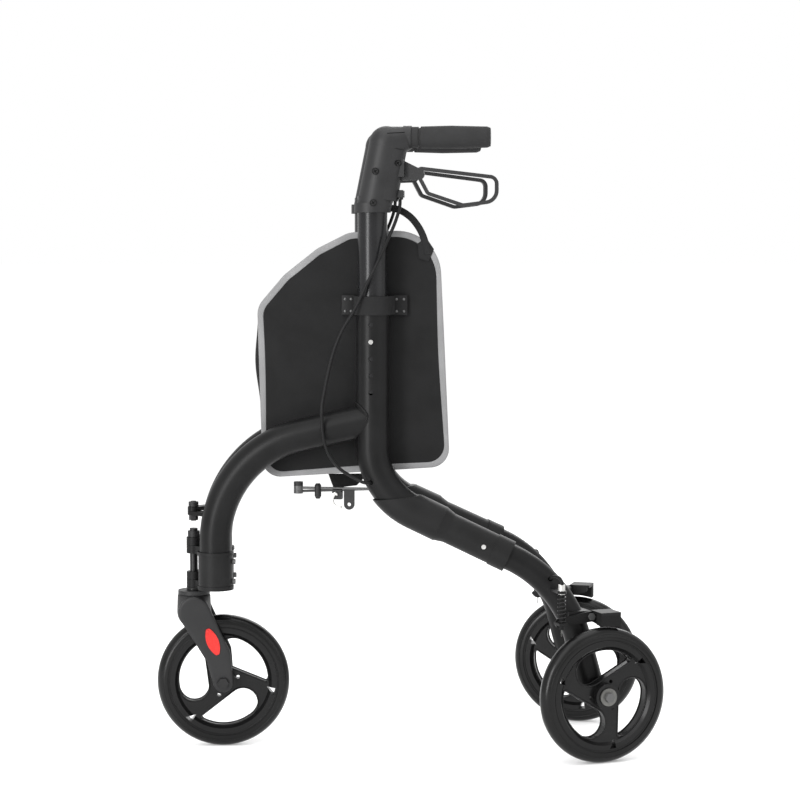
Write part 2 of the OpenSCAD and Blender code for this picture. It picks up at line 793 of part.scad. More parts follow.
// A closed tube along a path, as one polyhedron of triangles
module swept_tube(path, radius, sides, up) {
    count = len(path);
    points = [for (i = [0:count - 1]) each ring(path[i], tangent(path, i), up, radius, sides)];
    walls = [for (i = [0:count - 2]) for (k = [0:sides - 1]) let (a = i * sides + k,
        b = i * sides + (k + 1) % sides) each [[a, b, a + sides], [b, b + sides, a + sides]]];
    start_cap = [for (k = [1:sides - 2]) [0, k + 1, k]];
    end_cap = [for (k = [1:sides - 2]) [(count - 1) * sides, (count - 1) * sides + k, (count - 1) * sides + k + 1]];
    polyhedron(points, concat(walls, start_cap, end_cap));
}

// A smooth curve through a list of points
function curve_point(p, i, t) = let (a = p[max(i - 1, 0)], b = p[i], c = p[i + 1], d = p[min(i + 2, len(p) - 1)])
    0.5 * (2 * b + (c - a) * t + (2 * a - 5 * b + 4 * c - d) * t * t + (3 * b - a - 3 * c + d) * t * t * t);
function smooth(p, steps) = concat([for (i = [0:len(p) - 2]) for (j = [0:steps - 1]) curve_point(p, i, j / steps)],
    [p[len(p) - 1]]);

spring_low = pull_z + carrier_t + 0.4 + spring_wire / 2;
spring_high = stop_z - 0.4 - spring_wire / 2;
spring_pitch = (spring_high - spring_low) / spring_turns;
spring_rings = 8;
spring_path = [for (i = [0:spring_turns * spring_rings]) let (a = 360 * i / spring_rings)
    [spring_r * cos(a), spring_r * sin(a), spring_low + spring_pitch * i / spring_rings]];
// Least gap between two turns, measured on the path's points
spring_gap = min([for (i = [0:len(spring_path) - 1]) for (j = [i + 5:1:len(spring_path) - 1])
    norm(spring_path[i] - spring_path[j])]) - spring_wire;
echo(spring_gap = spring_gap);

// Return spring of the brake, one unbroken coil between the arm's tab and the cable stop
module brake_spring(side) {
    color(STEEL) on_side(side) at_rear_wheel() translate([pull_p, pull_t, 0])
        swept_tube(spring_path, spring_wire / 2, 6, [0, 0, 1]);
}

// Route of the brake cable in its frame: back from the hinge pin, outward from it, and height
CABLE_ROUTE = [[316, 26, 826], [315, 28, 812], [309, 36, 790], [298, 48, 762], [286, 53, 734], [268, 54, 698],
    [251, 54, 663], [233, 54, 633], [221, 54, 604], [213, 54, 574], [207, 54, 545], [203, 55, 520], [203, 55, 494],
    [206, 55, 470], [214, 54, 448], [230, 53, 428], [250, 53, 416], [262, 55, 410], [270, 54, 408], [274, 48, 408],
    [274, 40, 407], [277, 33, 403], [284, 28, 396], [296, 26, 384], [318, 26, 372], [337, 26, 364], [373, 26, 347],
    [409, 26, 330], [446, 26, 313], [482, 26, 296], [505, 26, 284], [520, 28, 275], [531, 33, 270], [540, 40, 268],
    [541, 48, 270], [547, 60, 274], [554, 70, 273]];
// Where the cable goes down into its stop, in the frame's own measures
stop_back = wheel_back - pull_p * cos(open_angle) + pull_t * sin(open_angle);
stop_out = wheel_out + pull_p * sin(open_angle) + pull_t * cos(open_angle);
// The route's upper part reaches up to the adjuster
route_scale = (adjuster_z + 1 - cable_in_z) / (CABLE_ROUTE[0][2] - cable_in_z);
function route_z(z) = z > cable_in_z ? cable_in_z + (z - cable_in_z) * route_scale : z;
cable_path = [for (p = concat([for (q = CABLE_ROUTE) [q[0], q[1], route_z(q[2])]], [[stop_back, stop_out, wheel_r + stop_z + 17],
    [stop_back, stop_out, wheel_r + stop_z + 5]])) [-p[0], p[1], p[2]]];

// Brake cable in its casing, and the bare wire under its stop
module brake_cable(side) {
    color(RUBBER) on_side(side) {
        swept_tube(smooth(cable_path, 2), cable_d / 2, 8, [0.1, 1, 0.3]);
        at_rear_wheel() translate([pull_p, pull_t, pull_z - 16])
            cylinder(h = stop_z - pull_z + 20, r = 0.8);
    }
}

// Handle

handle_top = elbow_z + 24;
bend_back = main_back + 21;
bend_z = grip_z - 9;
neck_r = 17.5;
stub_r = 10;
stub_len = grip_len - 8;
pin_len = 26;
pin_head_r = 4.5;
screw_r = 4.5;

module handle_tube(side) {
    color(BLACK_PAINT) on_side(side) difference() {
        translate([-main_back, frame_offset, main_top - handle_insert])
            pipe(handle_top - main_top + handle_insert, handle_r, handle_r - tube_wall);
        drill_out(main_back, height_button_z, button_hole_r);
    }
}

// Puts a shape on the frame's middle plane at a distance back and a height
module at_frame(back, height) {
    translate([-back, frame_offset, height]) children();
}

// A rod or cone in the frame's middle plane between two places, each a distance back and a height
module frame_rod(from, to, from_r, to_r) {
    run = norm(to - from);
    at_frame(from[0], from[1]) rotate([0, -atan2(to[0] - from[0], to[1] - from[1]), 0])
        cylinder(h = run, r1 = from_r, r2 = to_r);
}

// Whole outer form of the elbow casing, from the handle tube to the stub in the grip
module elbow_form() {
    at_frame(main_back, elbow_z) cylinder(h = 14, r = elbow_r);
    frame_rod([main_back + 2, elbow_z + 8], [bend_back, bend_z], elbow_r - 1.4, elbow_r - 1.4);
    frame_rod([main_back + 15, elbow_z + 20], [bend_back + 8, bend_z - 7], elbow_r - 5, elbow_r - 5);
    at_frame(bend_back, bend_z) sphere(elbow_r - 1);
    frame_rod([bend_back + 4, bend_z + 1], [grip_back - 6, grip_z - 1], elbow_r - 2, neck_r);
    at_frame(grip_back, grip_z) rotate([0, 90, 0]) cylinder(h = 12, r = neck_r - 0.4);
    at_frame(lever_back, lever_z) rotate([90, 0, 0]) cylinder(h = pin_len, r = 9, center = true);
    at_frame(lever_back, lever_z - 10) cube([18, pin_len, 20], center = true);
    translate([-adjuster_back - 6, frame_offset - 6, adjuster_z + 3]) cube([40, 12, 10]);
    at_frame(grip_back + stub_len, grip_z) rotate([0, 90, 0]) cylinder(h = stub_len, r = stub_r);
}

module elbow_casing() {
    difference() {
        elbow_form();
        at_frame(main_back, elbow_z - 1) cylinder(h = handle_top - elbow_z + 1, r = handle_r);
        at_frame(lever_back + 10, lever_z - 6) cube([52, lever_t + 1, 44], center = true);
        at_frame(lever_back, lever_z) rotate([90, 0, 0]) cylinder(h = 2 * pin_len, r = brace_pin_r, center = true);
        for (p = SCREWS) at_frame(p[0], p[1]) rotate([-90, 0, 0]) cylinder(h = 60, r = screw_r + 0.1);
        at_frame(adjuster_back, adjuster_z - 1) cylinder(h = 16, r = barrel_r);
        at_frame(lever_back, lever_z) rotate([90, 0, 0]) for (m = [0, 1]) mirror([0, 0, m])
            translate([0, 0, pin_len / 2]) cylinder(h = pin_len, r = pin_head_r + 0.1);
    }
}

// Places of the casing screws: distance back and height
SCREWS = [[main_back + 7, lever_z - 12], [main_back + 4, elbow_z + 14]];

module elbow_outer(side) {
    color(BLACK_PLASTIC) on_side(side) difference() {
        elbow_casing();
        translate([-far, frame_offset - far, 0]) cube([2 * far, far, far]);
    }
}

module elbow_inner(side) {
    color(BLACK_PLASTIC) on_side(side) difference() {
        elbow_casing();
        translate([-far, frame_offset, 0]) cube([2 * far, far, far]);
    }
}

// Casing screws, lever pin and cable adjuster of one handle
module handle_fittings(side) {
    color(STEEL) on_side(side) {
        for (p = SCREWS) at_frame(p[0], p[1]) rotate([-90, 0, 0])
            translate([0, 0, handle_r + 0.5]) cylinder(h = elbow_r - handle_r + 0.5, r = screw_r);
        at_frame(lever_back, lever_z) rotate([90, 0, 0]) {
            cylinder(h = pin_len + 2, r = brace_pin_r, center = true);
            for (m = [0, 1]) mirror([0, 0, m]) translate([0, 0, pin_len / 2]) cylinder(h = 2, r = pin_head_r);
        }
        at_frame(adjuster_back, adjuster_z) difference() {
            cylinder(h = 14, r = barrel_r);
            translate([0, 0, -1]) cylinder(h = 8, r = cable_d / 2 + 0.3);
        }
    }
}

module grip(side) {
    color(RUBBER) on_side(side) at_frame(grip_back, grip_z) rotate([0, -90, 0]) difference() {
        rotate_extrude() polygon([[0, 0], [grip_r - 1, 0], [grip_r - 1, 10], [grip_r - 2.5, 11], [grip_r - 2.5, 13],
            [grip_r - 0.5, 14], [grip_r + 0.5, grip_len * 0.5], [grip_r - 0.5, grip_len * 0.8],
            [grip_r - 1, grip_len - 5], [grip_r - 3, grip_len], [0, grip_len]]);
        translate([0, 0, -1]) cylinder(h = stub_len + 1, r = stub_r);
    }
}

module height_button(side) {
    color(STEEL) on_side(side) at_frame(main_back, height_button_z) rotate([-90, 0, 0])
        translate([0, 0, handle_r - tube_wall - button_seat])
        cylinder(h = main_r - handle_r + tube_wall + button_seat + button_out, r = button_r);
}

module leg_button(side) {
    color(STEEL) on_side(side) at_leg() translate([0, 0, leg_button_at]) rotate([-90, 0, 0])
        translate([0, 0, leg_r - tube_wall - button_seat])
        cylinder(h = casting_r - leg_r + tube_wall + button_seat + button_out, r = button_r);
}

// Corners of the lever's loop, back and up from its pivot, with the radius of each corner
LOOP = [[34, -14, 9], [134, -30, 13], [127, -40, 20], [96, -50, 14], [48, -38, 10]];

module loop_outline(inset) {
    hull() for (p = LOOP) translate([p[0], p[1]]) circle(p[2] - inset, $fn = 32);
}

// Brake lever: a neck on the pivot pin and a closed loop for the fingers
module brake_lever(side) {
    color(BLACK_PLASTIC) on_side(side) at_frame(lever_back, lever_z) difference() {
        translate([0, -lever_t / 2, 0]) across() {
            linear_extrude(lever_t) difference() {
                loop_outline(0);
                loop_outline(lever_bar);
            }
            linear_extrude(lever_t) hull() {
                circle(7, $fn = 32);
                translate([30, -16]) circle(8, $fn = 32);
                translate([6, -21]) circle(4, $fn = 32);
            }
        }
        rotate([90, 0, 0]) cylinder(h = 4 * lever_t, r = brace_pin_r + running_gap, center = true);
    }
}

// Bag

// The bag's bottom clears the brace and its catch
bag_clear = 18;
bag_low = brace_z + bag_clear;
// Corners of a bag panel: back, height and corner radius
BAG_CORNERS = [[132, bag_low + 27, 27], [358, bag_low + 44, 28], [129, 655, 30], [160, 691, 30], [206, 727, 30],
    [246, 747, 30], [308, 713, 66]];
panel_v = frame_offset - elbow_r - 1.5 - panel_t;
bag_rim_z = 672;

module bag_outline(squeeze, inset) {
    hull() for (p = BAG_CORNERS) translate([p[0] * squeeze, p[1]]) circle(p[2] - inset, $fn = 32);
}

module bag_panel(side) {
    color(FABRIC) on_side(side) translate([0, panel_v, 0]) across() linear_extrude(panel_t) bag_outline(1, 0);
}

// Half the width between the panels at a distance straight back from the hinge pin
function bag_half(x) = x * tan(fold_angle) + panel_v / cos(fold_angle) - pass_gap;

gusset_front = BAG_CORNERS[2][0] - BAG_CORNERS[2][2] - 9;
gusset_back = BAG_CORNERS[1][0] + BAG_CORNERS[1][2] + 4;

// Front, bottom and back of the bag between its two panels, open at the top
module bag_gusset() {
    color(FABRIC) at_hinge() intersection() {
        translate([0, -far, 0]) across() linear_extrude(2 * far) difference() {
            bag_outline(cos(fold_angle), 0);
            bag_outline(cos(fold_angle), gusset_t);
            translate([0, bag_rim_z]) square([far, far]);
        }
        linear_extrude(far)
            polygon([[-gusset_front, bag_half(gusset_front)], [-gusset_back, bag_half(gusset_back)],
                [-gusset_back, -bag_half(gusset_back)], [-gusset_front, -bag_half(gusset_front)]]);
    }
}

strap_z = 655;
strap_h = 28;
strap_t = 1.6;
wing_half = 50;

// Strap round the main tube's top, with a plate on the panel on each side of it
module bag_strap(side) {
    color(FABRIC) on_side(side) difference() {
        union() {
            at_frame(main_back, strap_z) cylinder(h = strap_h, r = main_r + 0.3 + strap_t);
            translate([-main_back - wing_half, panel_v + panel_t + 0.2, strap_z])
                cube([2 * wing_half, frame_offset - main_r - panel_v - panel_t - 1.4, strap_h]);
        }
        at_frame(main_back, strap_z - 1) cylinder(h = strap_h + 2, r = main_r + 0.3);
    }
}

// Brace under the bag

brace_tip_y = 8;
brace_lean = asin((brace_back * sin(fold_angle) + brace_v * cos(fold_angle) - brace_tip_y) / brace_len) - fold_angle;

// The pivot of a brace arm, with +X along the arm
module at_brace(side) {
    on_side(side) translate([-brace_back, brace_v, arm_z(side)]) rotate([0, 0, -brace_lean]) children();
}

module brace_arm(side) {
    color(STEEL) at_brace(side) {
        difference() {
            union() {
                cylinder(h = brace_eye_h, r = brace_eye_r, center = true);
                rotate([0, 90, 0]) cylinder(h = brace_len, r = brace_d / 2);
                translate([brace_len, 0, 0]) cylinder(h = brace_eye_h, r = brace_eye_r, center = true);
            }
            cylinder(h = 2 * brace_eye_h, r = brace_pin_r + running_gap, center = true);
            translate([brace_len, 0, 0]) cylinder(h = 2 * brace_eye_h, r = brace_pin_r, center = true);
        }
    }
}

tab_at = brace_len - 78;
tab_w = 16;
tab_h = 30;
tab_t = 3;
tab_hole_r = 2.8;
block_at = brace_len - 60;
block_w = 14;
knob_at = brace_len - 30;
knob_r = 5;

// Catch on the left brace arm: a cap on the tip's eye, an oval knob, a block and a round tab with a hole
module brace_catch() {
    color(BLACK_PLASTIC) at_brace("left") {
        translate([brace_len, 0, brace_eye_h / 2]) cylinder(h = 6, r = brace_eye_r);
        difference() {
            translate([knob_at, 0, 0]) rotate(90) rotate_extrude() polygon([[0, -16], [knob_r - 2, -16], [knob_r, -12],
                [knob_r, 4], [knob_r - 2, 7], [0, 7]]);
            translate([knob_at - 10, 0, 0]) rotate([0, 90, 0]) cylinder(h = 20, r = brace_d / 2);
        }
        translate([block_at - block_w / 2, -block_w / 2, -brace_d / 2 - block_w]) cube([block_w, block_w, block_w]);
        difference() {
            union() {
                translate([tab_at - tab_w / 2, -tab_t / 2, -brace_d / 2 - tab_h + tab_w / 2])
                    cube([tab_w, tab_t, tab_h - tab_w / 2]);
                translate([tab_at, 0, -brace_d / 2 - tab_h + tab_w / 2]) rotate([90, 0, 0])
                    cylinder(h = tab_t, r = tab_w / 2, center = true);
            }
            translate([tab_at, 0, -brace_d / 2 - tab_h + tab_w / 2]) rotate([90, 0, 0])
                cylinder(h = 10, r = tab_hole_r, center = true);
        }
    }
}

hinge_pin();
hinge_caps();
bag_gusset();
fork();
fork_cap();
stem_bearing();
reflectors();
front_axle();
front_rim();
front_tyre();
front_bearings();
brace_catch();
for (s = SIDES) {
    front_tube(s);
    main_tube(s);
    hinge_sleeve(s);
    leg_casting(s);
    rear_leg(s);
    axle_bolts(s);
    brake_spring(s);
    brake_cable(s);
    bag_panel(s);
    bag_strap(s);
    handle_tube(s);
    elbow_outer(s);
    elbow_inner(s);
    handle_fittings(s);
    grip(s);
    height_button(s);
    leg_button(s);
    brake_lever(s);
    brake_arm(s);
    brake_shoe(s);
    rim(s);
    tyre(s);
    bearings(s);
    brace_arm(s);
}
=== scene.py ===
"""Looks of a folding three wheel rollator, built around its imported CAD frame."""

import json
import logging
import math
from dataclasses import dataclass, field
from enum import Enum
from typing import Callable, Dict, Iterable, List, Optional, Sequence, Tuple, Union

import bpy
import bmesh
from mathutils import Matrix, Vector
from mathutils.bvhtree import BVHTree


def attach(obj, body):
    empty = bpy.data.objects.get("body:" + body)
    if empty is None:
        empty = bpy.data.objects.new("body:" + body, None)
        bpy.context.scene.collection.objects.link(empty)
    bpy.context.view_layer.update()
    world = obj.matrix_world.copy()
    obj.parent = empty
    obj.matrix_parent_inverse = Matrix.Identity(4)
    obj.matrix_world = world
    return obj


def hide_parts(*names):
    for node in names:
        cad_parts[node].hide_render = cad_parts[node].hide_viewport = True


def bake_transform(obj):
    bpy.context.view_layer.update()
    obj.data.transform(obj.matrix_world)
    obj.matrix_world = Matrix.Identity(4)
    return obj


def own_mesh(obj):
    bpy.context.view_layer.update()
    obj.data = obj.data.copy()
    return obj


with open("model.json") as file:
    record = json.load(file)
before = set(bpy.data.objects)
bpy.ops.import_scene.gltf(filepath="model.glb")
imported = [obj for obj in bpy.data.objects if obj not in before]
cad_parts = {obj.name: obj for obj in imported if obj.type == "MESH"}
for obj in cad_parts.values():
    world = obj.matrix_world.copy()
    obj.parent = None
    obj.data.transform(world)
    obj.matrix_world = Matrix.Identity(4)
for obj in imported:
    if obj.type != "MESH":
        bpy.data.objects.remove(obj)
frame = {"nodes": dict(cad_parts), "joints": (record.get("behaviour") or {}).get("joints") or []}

LOG = logging.getLogger("rollator")
MM = 0.001
SHARP_DEG = 32
SOFT_DEG = 40
COAT_ROUGHNESS = 0.25
MOTTLE_SCALE = 24.0
MOTTLE_DETAIL = 4.0
FLECK_SHARE = 0.55
FLECK_ENDS = (0.25, 0.75)
ROUGH_SPREAD = 0.06
LEAST_ROUGHNESS = 0.02
GRAIN_DETAIL = 3.0
THREAD_WOBBLE = 0.6
BRUSH_STRETCH = (1.0, 1.0, 0.04)
Colour = Tuple[float, float, float]
Point2 = Tuple[float, float]
Point3 = Tuple[float, float, float]
Key = Union[str, int]


class Side(Enum):
    """The two sides of the rollator, as its user stands behind it."""

    LEFT = "left"
    RIGHT = "right"

    @property
    def sign(self) -> int:
        """Sign of the world's Y on this side: 1 on the left and -1 on the right."""
        return 1 if self is Side.LEFT else -1

    def body(self, name: str) -> str:
        """Name of one of this side's CAD bodies or nodes, from its name without the side."""
        return f"{self.value}_{name}"


class Weave(Enum):
    """How a finish's surface is structured."""

    GRAIN = "grain"
    CLOTH = "cloth"
    WEBBING = "webbing"
    BRUSHED = "brushed"
    PRISMS = "prisms"


def add_node(tree: bpy.types.NodeTree, kind: str, values: Dict[Key, object],
             links: Dict[Key, bpy.types.NodeSocket], operation: Optional[str] = None) -> bpy.types.Node:
    """Adds a node to a material.

    Args:
        tree: the material's node tree.
        kind: the node's type.
        values: constant values of its inputs, by name or number.
        links: sockets that feed its inputs, by name or number.
        operation: what a math node does.

    Returns:
        The node.
    """
    node = tree.nodes.new(kind)
    if operation is not None:
        node.operation = operation
    for key, value in values.items():
        node.inputs[key].default_value = value
    for key, source in links.items():
        tree.links.new(source, node.inputs[key])
    return node


@dataclass(frozen=True)
class Finish:
    """One surface finish, made as a procedural material.

    Attributes:
        name: the material's name.
        dark: colour of the darker flecks, linear.
        light: colour of the lighter flecks, linear.
        roughness: mean roughness.
        metallic: how metallic it is, from 0 to 1.
        weave: the kind of structure.
        grain: size of the structure, per metre.
        relief: strength of the bump.
        depth: depth of the bump in metres.
        coat: share of clear coat.
        sheen: share of cloth sheen.
        gloss: strength of the mirror-like share.
        glow: light that it gives off itself.
    """

    name: str
    dark: Colour
    light: Colour
    roughness: float
    metallic: float = 0.0
    weave: Weave = Weave.GRAIN
    grain: float = 600.0
    relief: float = 0.1
    depth: float = 0.0004
    coat: float = 0.0
    sheen: float = 0.0
    gloss: float = 0.2
    glow: float = 0.0

    def material(self) -> bpy.types.Material:
        """Makes the material, or finds it if it was made before.

        Returns:
            The node material.
        """
        found = bpy.data.materials.get(self.name)
        if found is not None:
            return found
        mat = bpy.data.materials.new(self.name)
        mat.use_nodes = True
        tree = mat.node_tree
        shader = tree.nodes["Principled BSDF"]
        settings = {"Metallic": self.metallic, "Coat Weight": self.coat, "Coat Roughness": COAT_ROUGHNESS,
                    "Sheen Weight": self.sheen, "Specular IOR Level": self.gloss,
                    "Emission Color": (1.0, 1.0, 1.0, 1.0), "Emission Strength": self.glow}
        for socket, value in settings.items():
            shader.inputs[socket].default_value = value
        places = tree.nodes.new("ShaderNodeTexCoord").outputs["Object"]
        height = self._structure(tree, places)
        mottle = add_node(tree, "ShaderNodeTexNoise", {"Scale": MOTTLE_SCALE, "Detail": MOTTLE_DETAIL},
                          {"Vector": places}).outputs["Fac"]
        half = add_node(tree, "ShaderNodeMath", {1: 0.5}, {0: height}, "SUBTRACT").outputs[0]
        flecks = add_node(tree, "ShaderNodeMath", {1: FLECK_SHARE}, {0: half, 2: mottle}, "MULTIPLY_ADD")
        ramp = add_node(tree, "ShaderNodeValToRGB", {}, {"Fac": flecks.outputs[0]})
        for element, place, colour in zip(ramp.color_ramp.elements, FLECK_ENDS, (self.dark, self.light)):
            element.position = place
            element.color = (*colour, 1.0)
        ends = {"To Min": max(LEAST_ROUGHNESS, self.roughness - ROUGH_SPREAD),
                "To Max": min(1.0, self.roughness + ROUGH_SPREAD)}
        rough = add_node(tree, "ShaderNodeMapRange", ends, {"Value": mottle})
        bump = add_node(tree, "ShaderNodeBump", {"Strength": self.relief, "Distance": self.depth},
                        {"Height": height})
        tree.links.new(ramp.outputs["Color"], shader.inputs["Base Color"])
        tree.links.new(rough.outputs["Result"], shader.inputs["Roughness"])
        tree.links.new(bump.outputs["Normal"], shader.inputs["Normal"])
        return mat

    def _structure(self, tree: bpy.types.NodeTree, vector: bpy.types.NodeSocket) -> bpy.types.NodeSocket:
        """Adds the nodes of the surface's fine structure.

        Args:
            tree: the material's node tree.
            vector: the coordinates.

        Returns:
            A socket that gives a height from 0 to 1.
        """
        if self.weave is Weave.PRISMS:
            cells = add_node(tree, "ShaderNodeTexVoronoi", {"Scale": self.grain}, {"Vector": vector})
            return cells.outputs["Distance"]
        if self.weave in (Weave.CLOTH, Weave.WEBBING):
            threads = {}
            for i, axis in enumerate(("DIAGONAL", "Z")):
                wave = add_node(tree, "ShaderNodeTexWave", {"Scale": self.grain, "Distortion": THREAD_WOBBLE},
                                {"Vector": vector})
                wave.bands_direction = axis
                threads[i] = wave.outputs["Fac"]
            crossing = "MAXIMUM" if self.weave is Weave.CLOTH else "MULTIPLY"
            return add_node(tree, "ShaderNodeMath", {}, threads, crossing).outputs[0]
        if self.weave is Weave.BRUSHED:
            stretch = add_node(tree, "ShaderNodeMapping", {"Scale": BRUSH_STRETCH}, {"Vector": vector})
            vector = stretch.outputs["Vector"]
        noise = add_node(tree, "ShaderNodeTexNoise", {"Scale": self.grain, "Detail": GRAIN_DETAIL},
                         {"Vector": vector})
        return noise.outputs["Fac"]


PAINT = Finish("satin_black_paint", (0.0052, 0.0052, 0.0053), (0.0082, 0.0082, 0.0084), 0.36,
               grain=900.0, relief=0.06, gloss=0.12)
TUBE = Finish("dark_anodised_tube", (0.006, 0.006, 0.0065), (0.011, 0.011, 0.012), 0.27, metallic=0.2,
              weave=Weave.BRUSHED, grain=500.0, relief=0.05, gloss=0.3)
PLASTIC = Finish("matte_black_plastic", (0.0085, 0.0085, 0.009), (0.014, 0.014, 0.0145), 0.48,
                 grain=1400.0, relief=0.12, gloss=0.28)
CASTING = Finish("cast_black_plastic", (0.0065, 0.0065, 0.0066), (0.0105, 0.0105, 0.0107), 0.46,
                 grain=1200.0, gloss=0.13)
WHEEL = Finish("wheel_plastic", (0.0035, 0.0035, 0.0036), (0.0060, 0.0060, 0.0061), 0.26,
               grain=1100.0, relief=0.08)
TYRE = Finish("tyre_rubber", (0.0030, 0.0030, 0.0030), (0.0052, 0.0052, 0.0052), 0.24,
              grain=1600.0, relief=0.08)
GRIP = Finish("grip_foam", (0.012, 0.012, 0.0122), (0.021, 0.021, 0.0215), 0.8,
              grain=1500.0, relief=0.35, gloss=0.25)
SHOE = Finish("brake_rubber", (0.005, 0.005, 0.005), (0.009, 0.009, 0.009), 0.75,
              grain=900.0, relief=0.2, gloss=0.15)
CABLE = Finish("cable_casing", (0.004, 0.004, 0.0042), (0.008, 0.008, 0.0082), 0.45,
               grain=800.0, relief=0.05, gloss=0.15)
STEEL = Finish("plated_steel", (0.40, 0.395, 0.385), (0.58, 0.575, 0.56), 0.30, metallic=1.0,
               weave=Weave.BRUSHED, grain=700.0, relief=0.06)
ZINC = Finish("dull_zinc", (0.10, 0.10, 0.095), (0.16, 0.16, 0.152), 0.46, metallic=0.8,
              weave=Weave.BRUSHED, grain=700.0, relief=0.08)
BLACK_STEEL = Finish("black_steel", (0.0065, 0.0065, 0.0066), (0.013, 0.013, 0.0132), 0.36, metallic=0.15,
                     grain=900.0)
SCREW = Finish("blackened_screw", (0.0045, 0.0045, 0.0046), (0.008, 0.008, 0.0082), 0.3,
               grain=700.0, gloss=0.3)
# Painted shade: a near-black finish for dark lines laid where recesses, grooves and creases fall into shadow.
RECESS_SHADE = Finish("painted_recess_shade", (0.0012, 0.0012, 0.0012), (0.0024, 0.0024, 0.0024), 0.7,
                grain=700.0, gloss=0.05)
CLOTH = Finish("bag_cloth", (0.0066, 0.0066, 0.0067), (0.0120, 0.0120, 0.0122), 0.88,
               weave=Weave.CLOTH, grain=420.0, relief=0.35, depth=0.0003, sheen=0.04, gloss=0.12)
BINDING = Finish("bag_binding", (0.165, 0.165, 0.167), (0.24, 0.24, 0.243), 0.8,
                 weave=Weave.WEBBING, grain=300.0, relief=0.3, sheen=0.1)
WEBBING = Finish("webbing", (0.008, 0.008, 0.0082), (0.017, 0.017, 0.0175), 0.8,
                 weave=Weave.WEBBING, grain=350.0, relief=0.5)
RED = Finish("red_reflector", (0.38, 0.008, 0.006), (0.56, 0.018, 0.013), 0.28,
             weave=Weave.PRISMS, grain=420.0, relief=0.4, coat=0.1, gloss=0.3)
FLOOR = Finish("pale_floor", (0.86, 0.86, 0.86), (0.90, 0.90, 0.90), 0.9,
               grain=60.0, relief=0.0, gloss=0.0, glow=0.14)


@dataclass(frozen=True)
class Layout:
    """Places of the main axes, in millimetres, the same as in the part's source.

    Attributes:
        fold_deg: each side frame's angle from the middle as it stands.
        open_deg: the angle at which it is fully open, to which the rear wheels are set.
        frame_offset: distance of the tubes from the hinge pin, across the frame.
        main_back: distance of the main tube behind the hinge pin.
        wheel_back: distance of the rear wheels behind the hinge pin.
        wheel_out: distance of the rear wheels from the hinge pin, across the frame.
        wheel_r: the wheels' radius.
        caster_trail: distance of the front wheel behind the hinge pin.
    """

    fold_deg: float = 8.5
    open_deg: float = 27.5
    frame_offset: float = 26.0
    main_back: float = 275.0
    wheel_back: float = 617.0
    wheel_out: float = 58.0
    wheel_r: float = 100.0
    caster_trail: float = 44.0

    @property
    def hinge_x(self) -> float:
        """Place of the hinge pin along X, in millimetres."""
        joint = next(j for j in frame["joints"] if j["name"] == "left_fold")
        return joint["pos_m"][0] / MM

    def on_side(self, side: Side, back: float, out: float, up: float) -> Vector:
        """Place in metres of a point given back and out from the hinge pin, and in height."""
        c, s = math.cos(math.radians(self.fold_deg)), math.sin(math.radians(self.fold_deg))
        return Vector((self.hinge_x - back * c + out * s, side.sign * (back * s + out * c), up)) * MM

    def at_wheel(self, side: Side, ahead: float, out: float, up: float) -> Vector:
        """World place of a point given from a rear wheel's middle.

        Args:
            side: which side.
            ahead: millimetres ahead, the way the wheel rolls.
            out: millimetres outward along the axle.
            up: millimetres above the axle.

        Returns:
            The place in metres.
        """
        c, s = math.cos(math.radians(self.open_deg)), math.sin(math.radians(self.open_deg))
        back = self.wheel_back - ahead * c + out * s
        return self.on_side(side, back, self.wheel_out + ahead * s + out * c, self.wheel_r + up)

    def at_front_wheel(self, ahead: float, out: float, up: float) -> Vector:
        """Place in metres of a point given ahead of, left of and above the front axle."""
        return Vector((self.hinge_x - self.caster_trail + ahead, out, self.wheel_r + up)) * MM

    def across(self, side: Side) -> Vector:
        """Direction square to a side frame, outward, one millimetre long."""
        return self.on_side(side, 0, 1, 0) - self.on_side(side, 0, 0, 0)


LAYOUT = Layout()


def new_object(name: str, mesh: bpy.types.Mesh, finish: Finish, smooth: bool = True) -> bpy.types.Object:
    """Puts a mesh into the scene with a finish.

    Args:
        name: the piece's name.
        mesh: its mesh.
        finish: its finish.
        smooth: whether its faces are shaded smooth.

    Returns:
        The new object.
    """
    obj = bpy.data.objects.new(name, mesh)
    bpy.context.scene.collection.objects.link(obj)
    mesh.materials.clear()
    mesh.materials.append(finish.material())
    for face in mesh.polygons:
        face.use_smooth = smooth
    return obj


def mesh_from(name: str, points: Sequence[Vector], faces: Sequence[Sequence[int]]) -> bpy.types.Mesh:
    """Makes a mesh with its faces' normals pointing out.

    Args:
        name: the mesh's name.
        points: the vertices.
        faces: indices of each face's vertices.

    Returns:
        The mesh.
    """
    mesh = bpy.data.meshes.new(name)
    mesh.from_pydata([tuple(p) for p in points], [], [tuple(f) for f in faces])
    mesh.update()
    work = bmesh.new()
    work.from_mesh(mesh)
    bmesh.ops.recalc_face_normals(work, faces=work.faces)
    work.to_mesh(mesh)
    work.free()
    return mesh


def ring_faces(rows: int, count: int, closed: bool = False) -> List[List[int]]:
    """Faces between rings of points that follow each other.

    Args:
        rows: how many rings.
        count: points of each ring.
        closed: whether the last ring joins the first.

    Returns:
        Indices of each face's vertices.
    """
    faces: List[List[int]] = []
    for i in range(rows if closed else rows - 1):
        here, there = i * count, (i + 1) % rows * count
        for k in range(count):
            m = (k + 1) % count
            faces.append([here + k, here + m, there + m, there + k])
    return faces


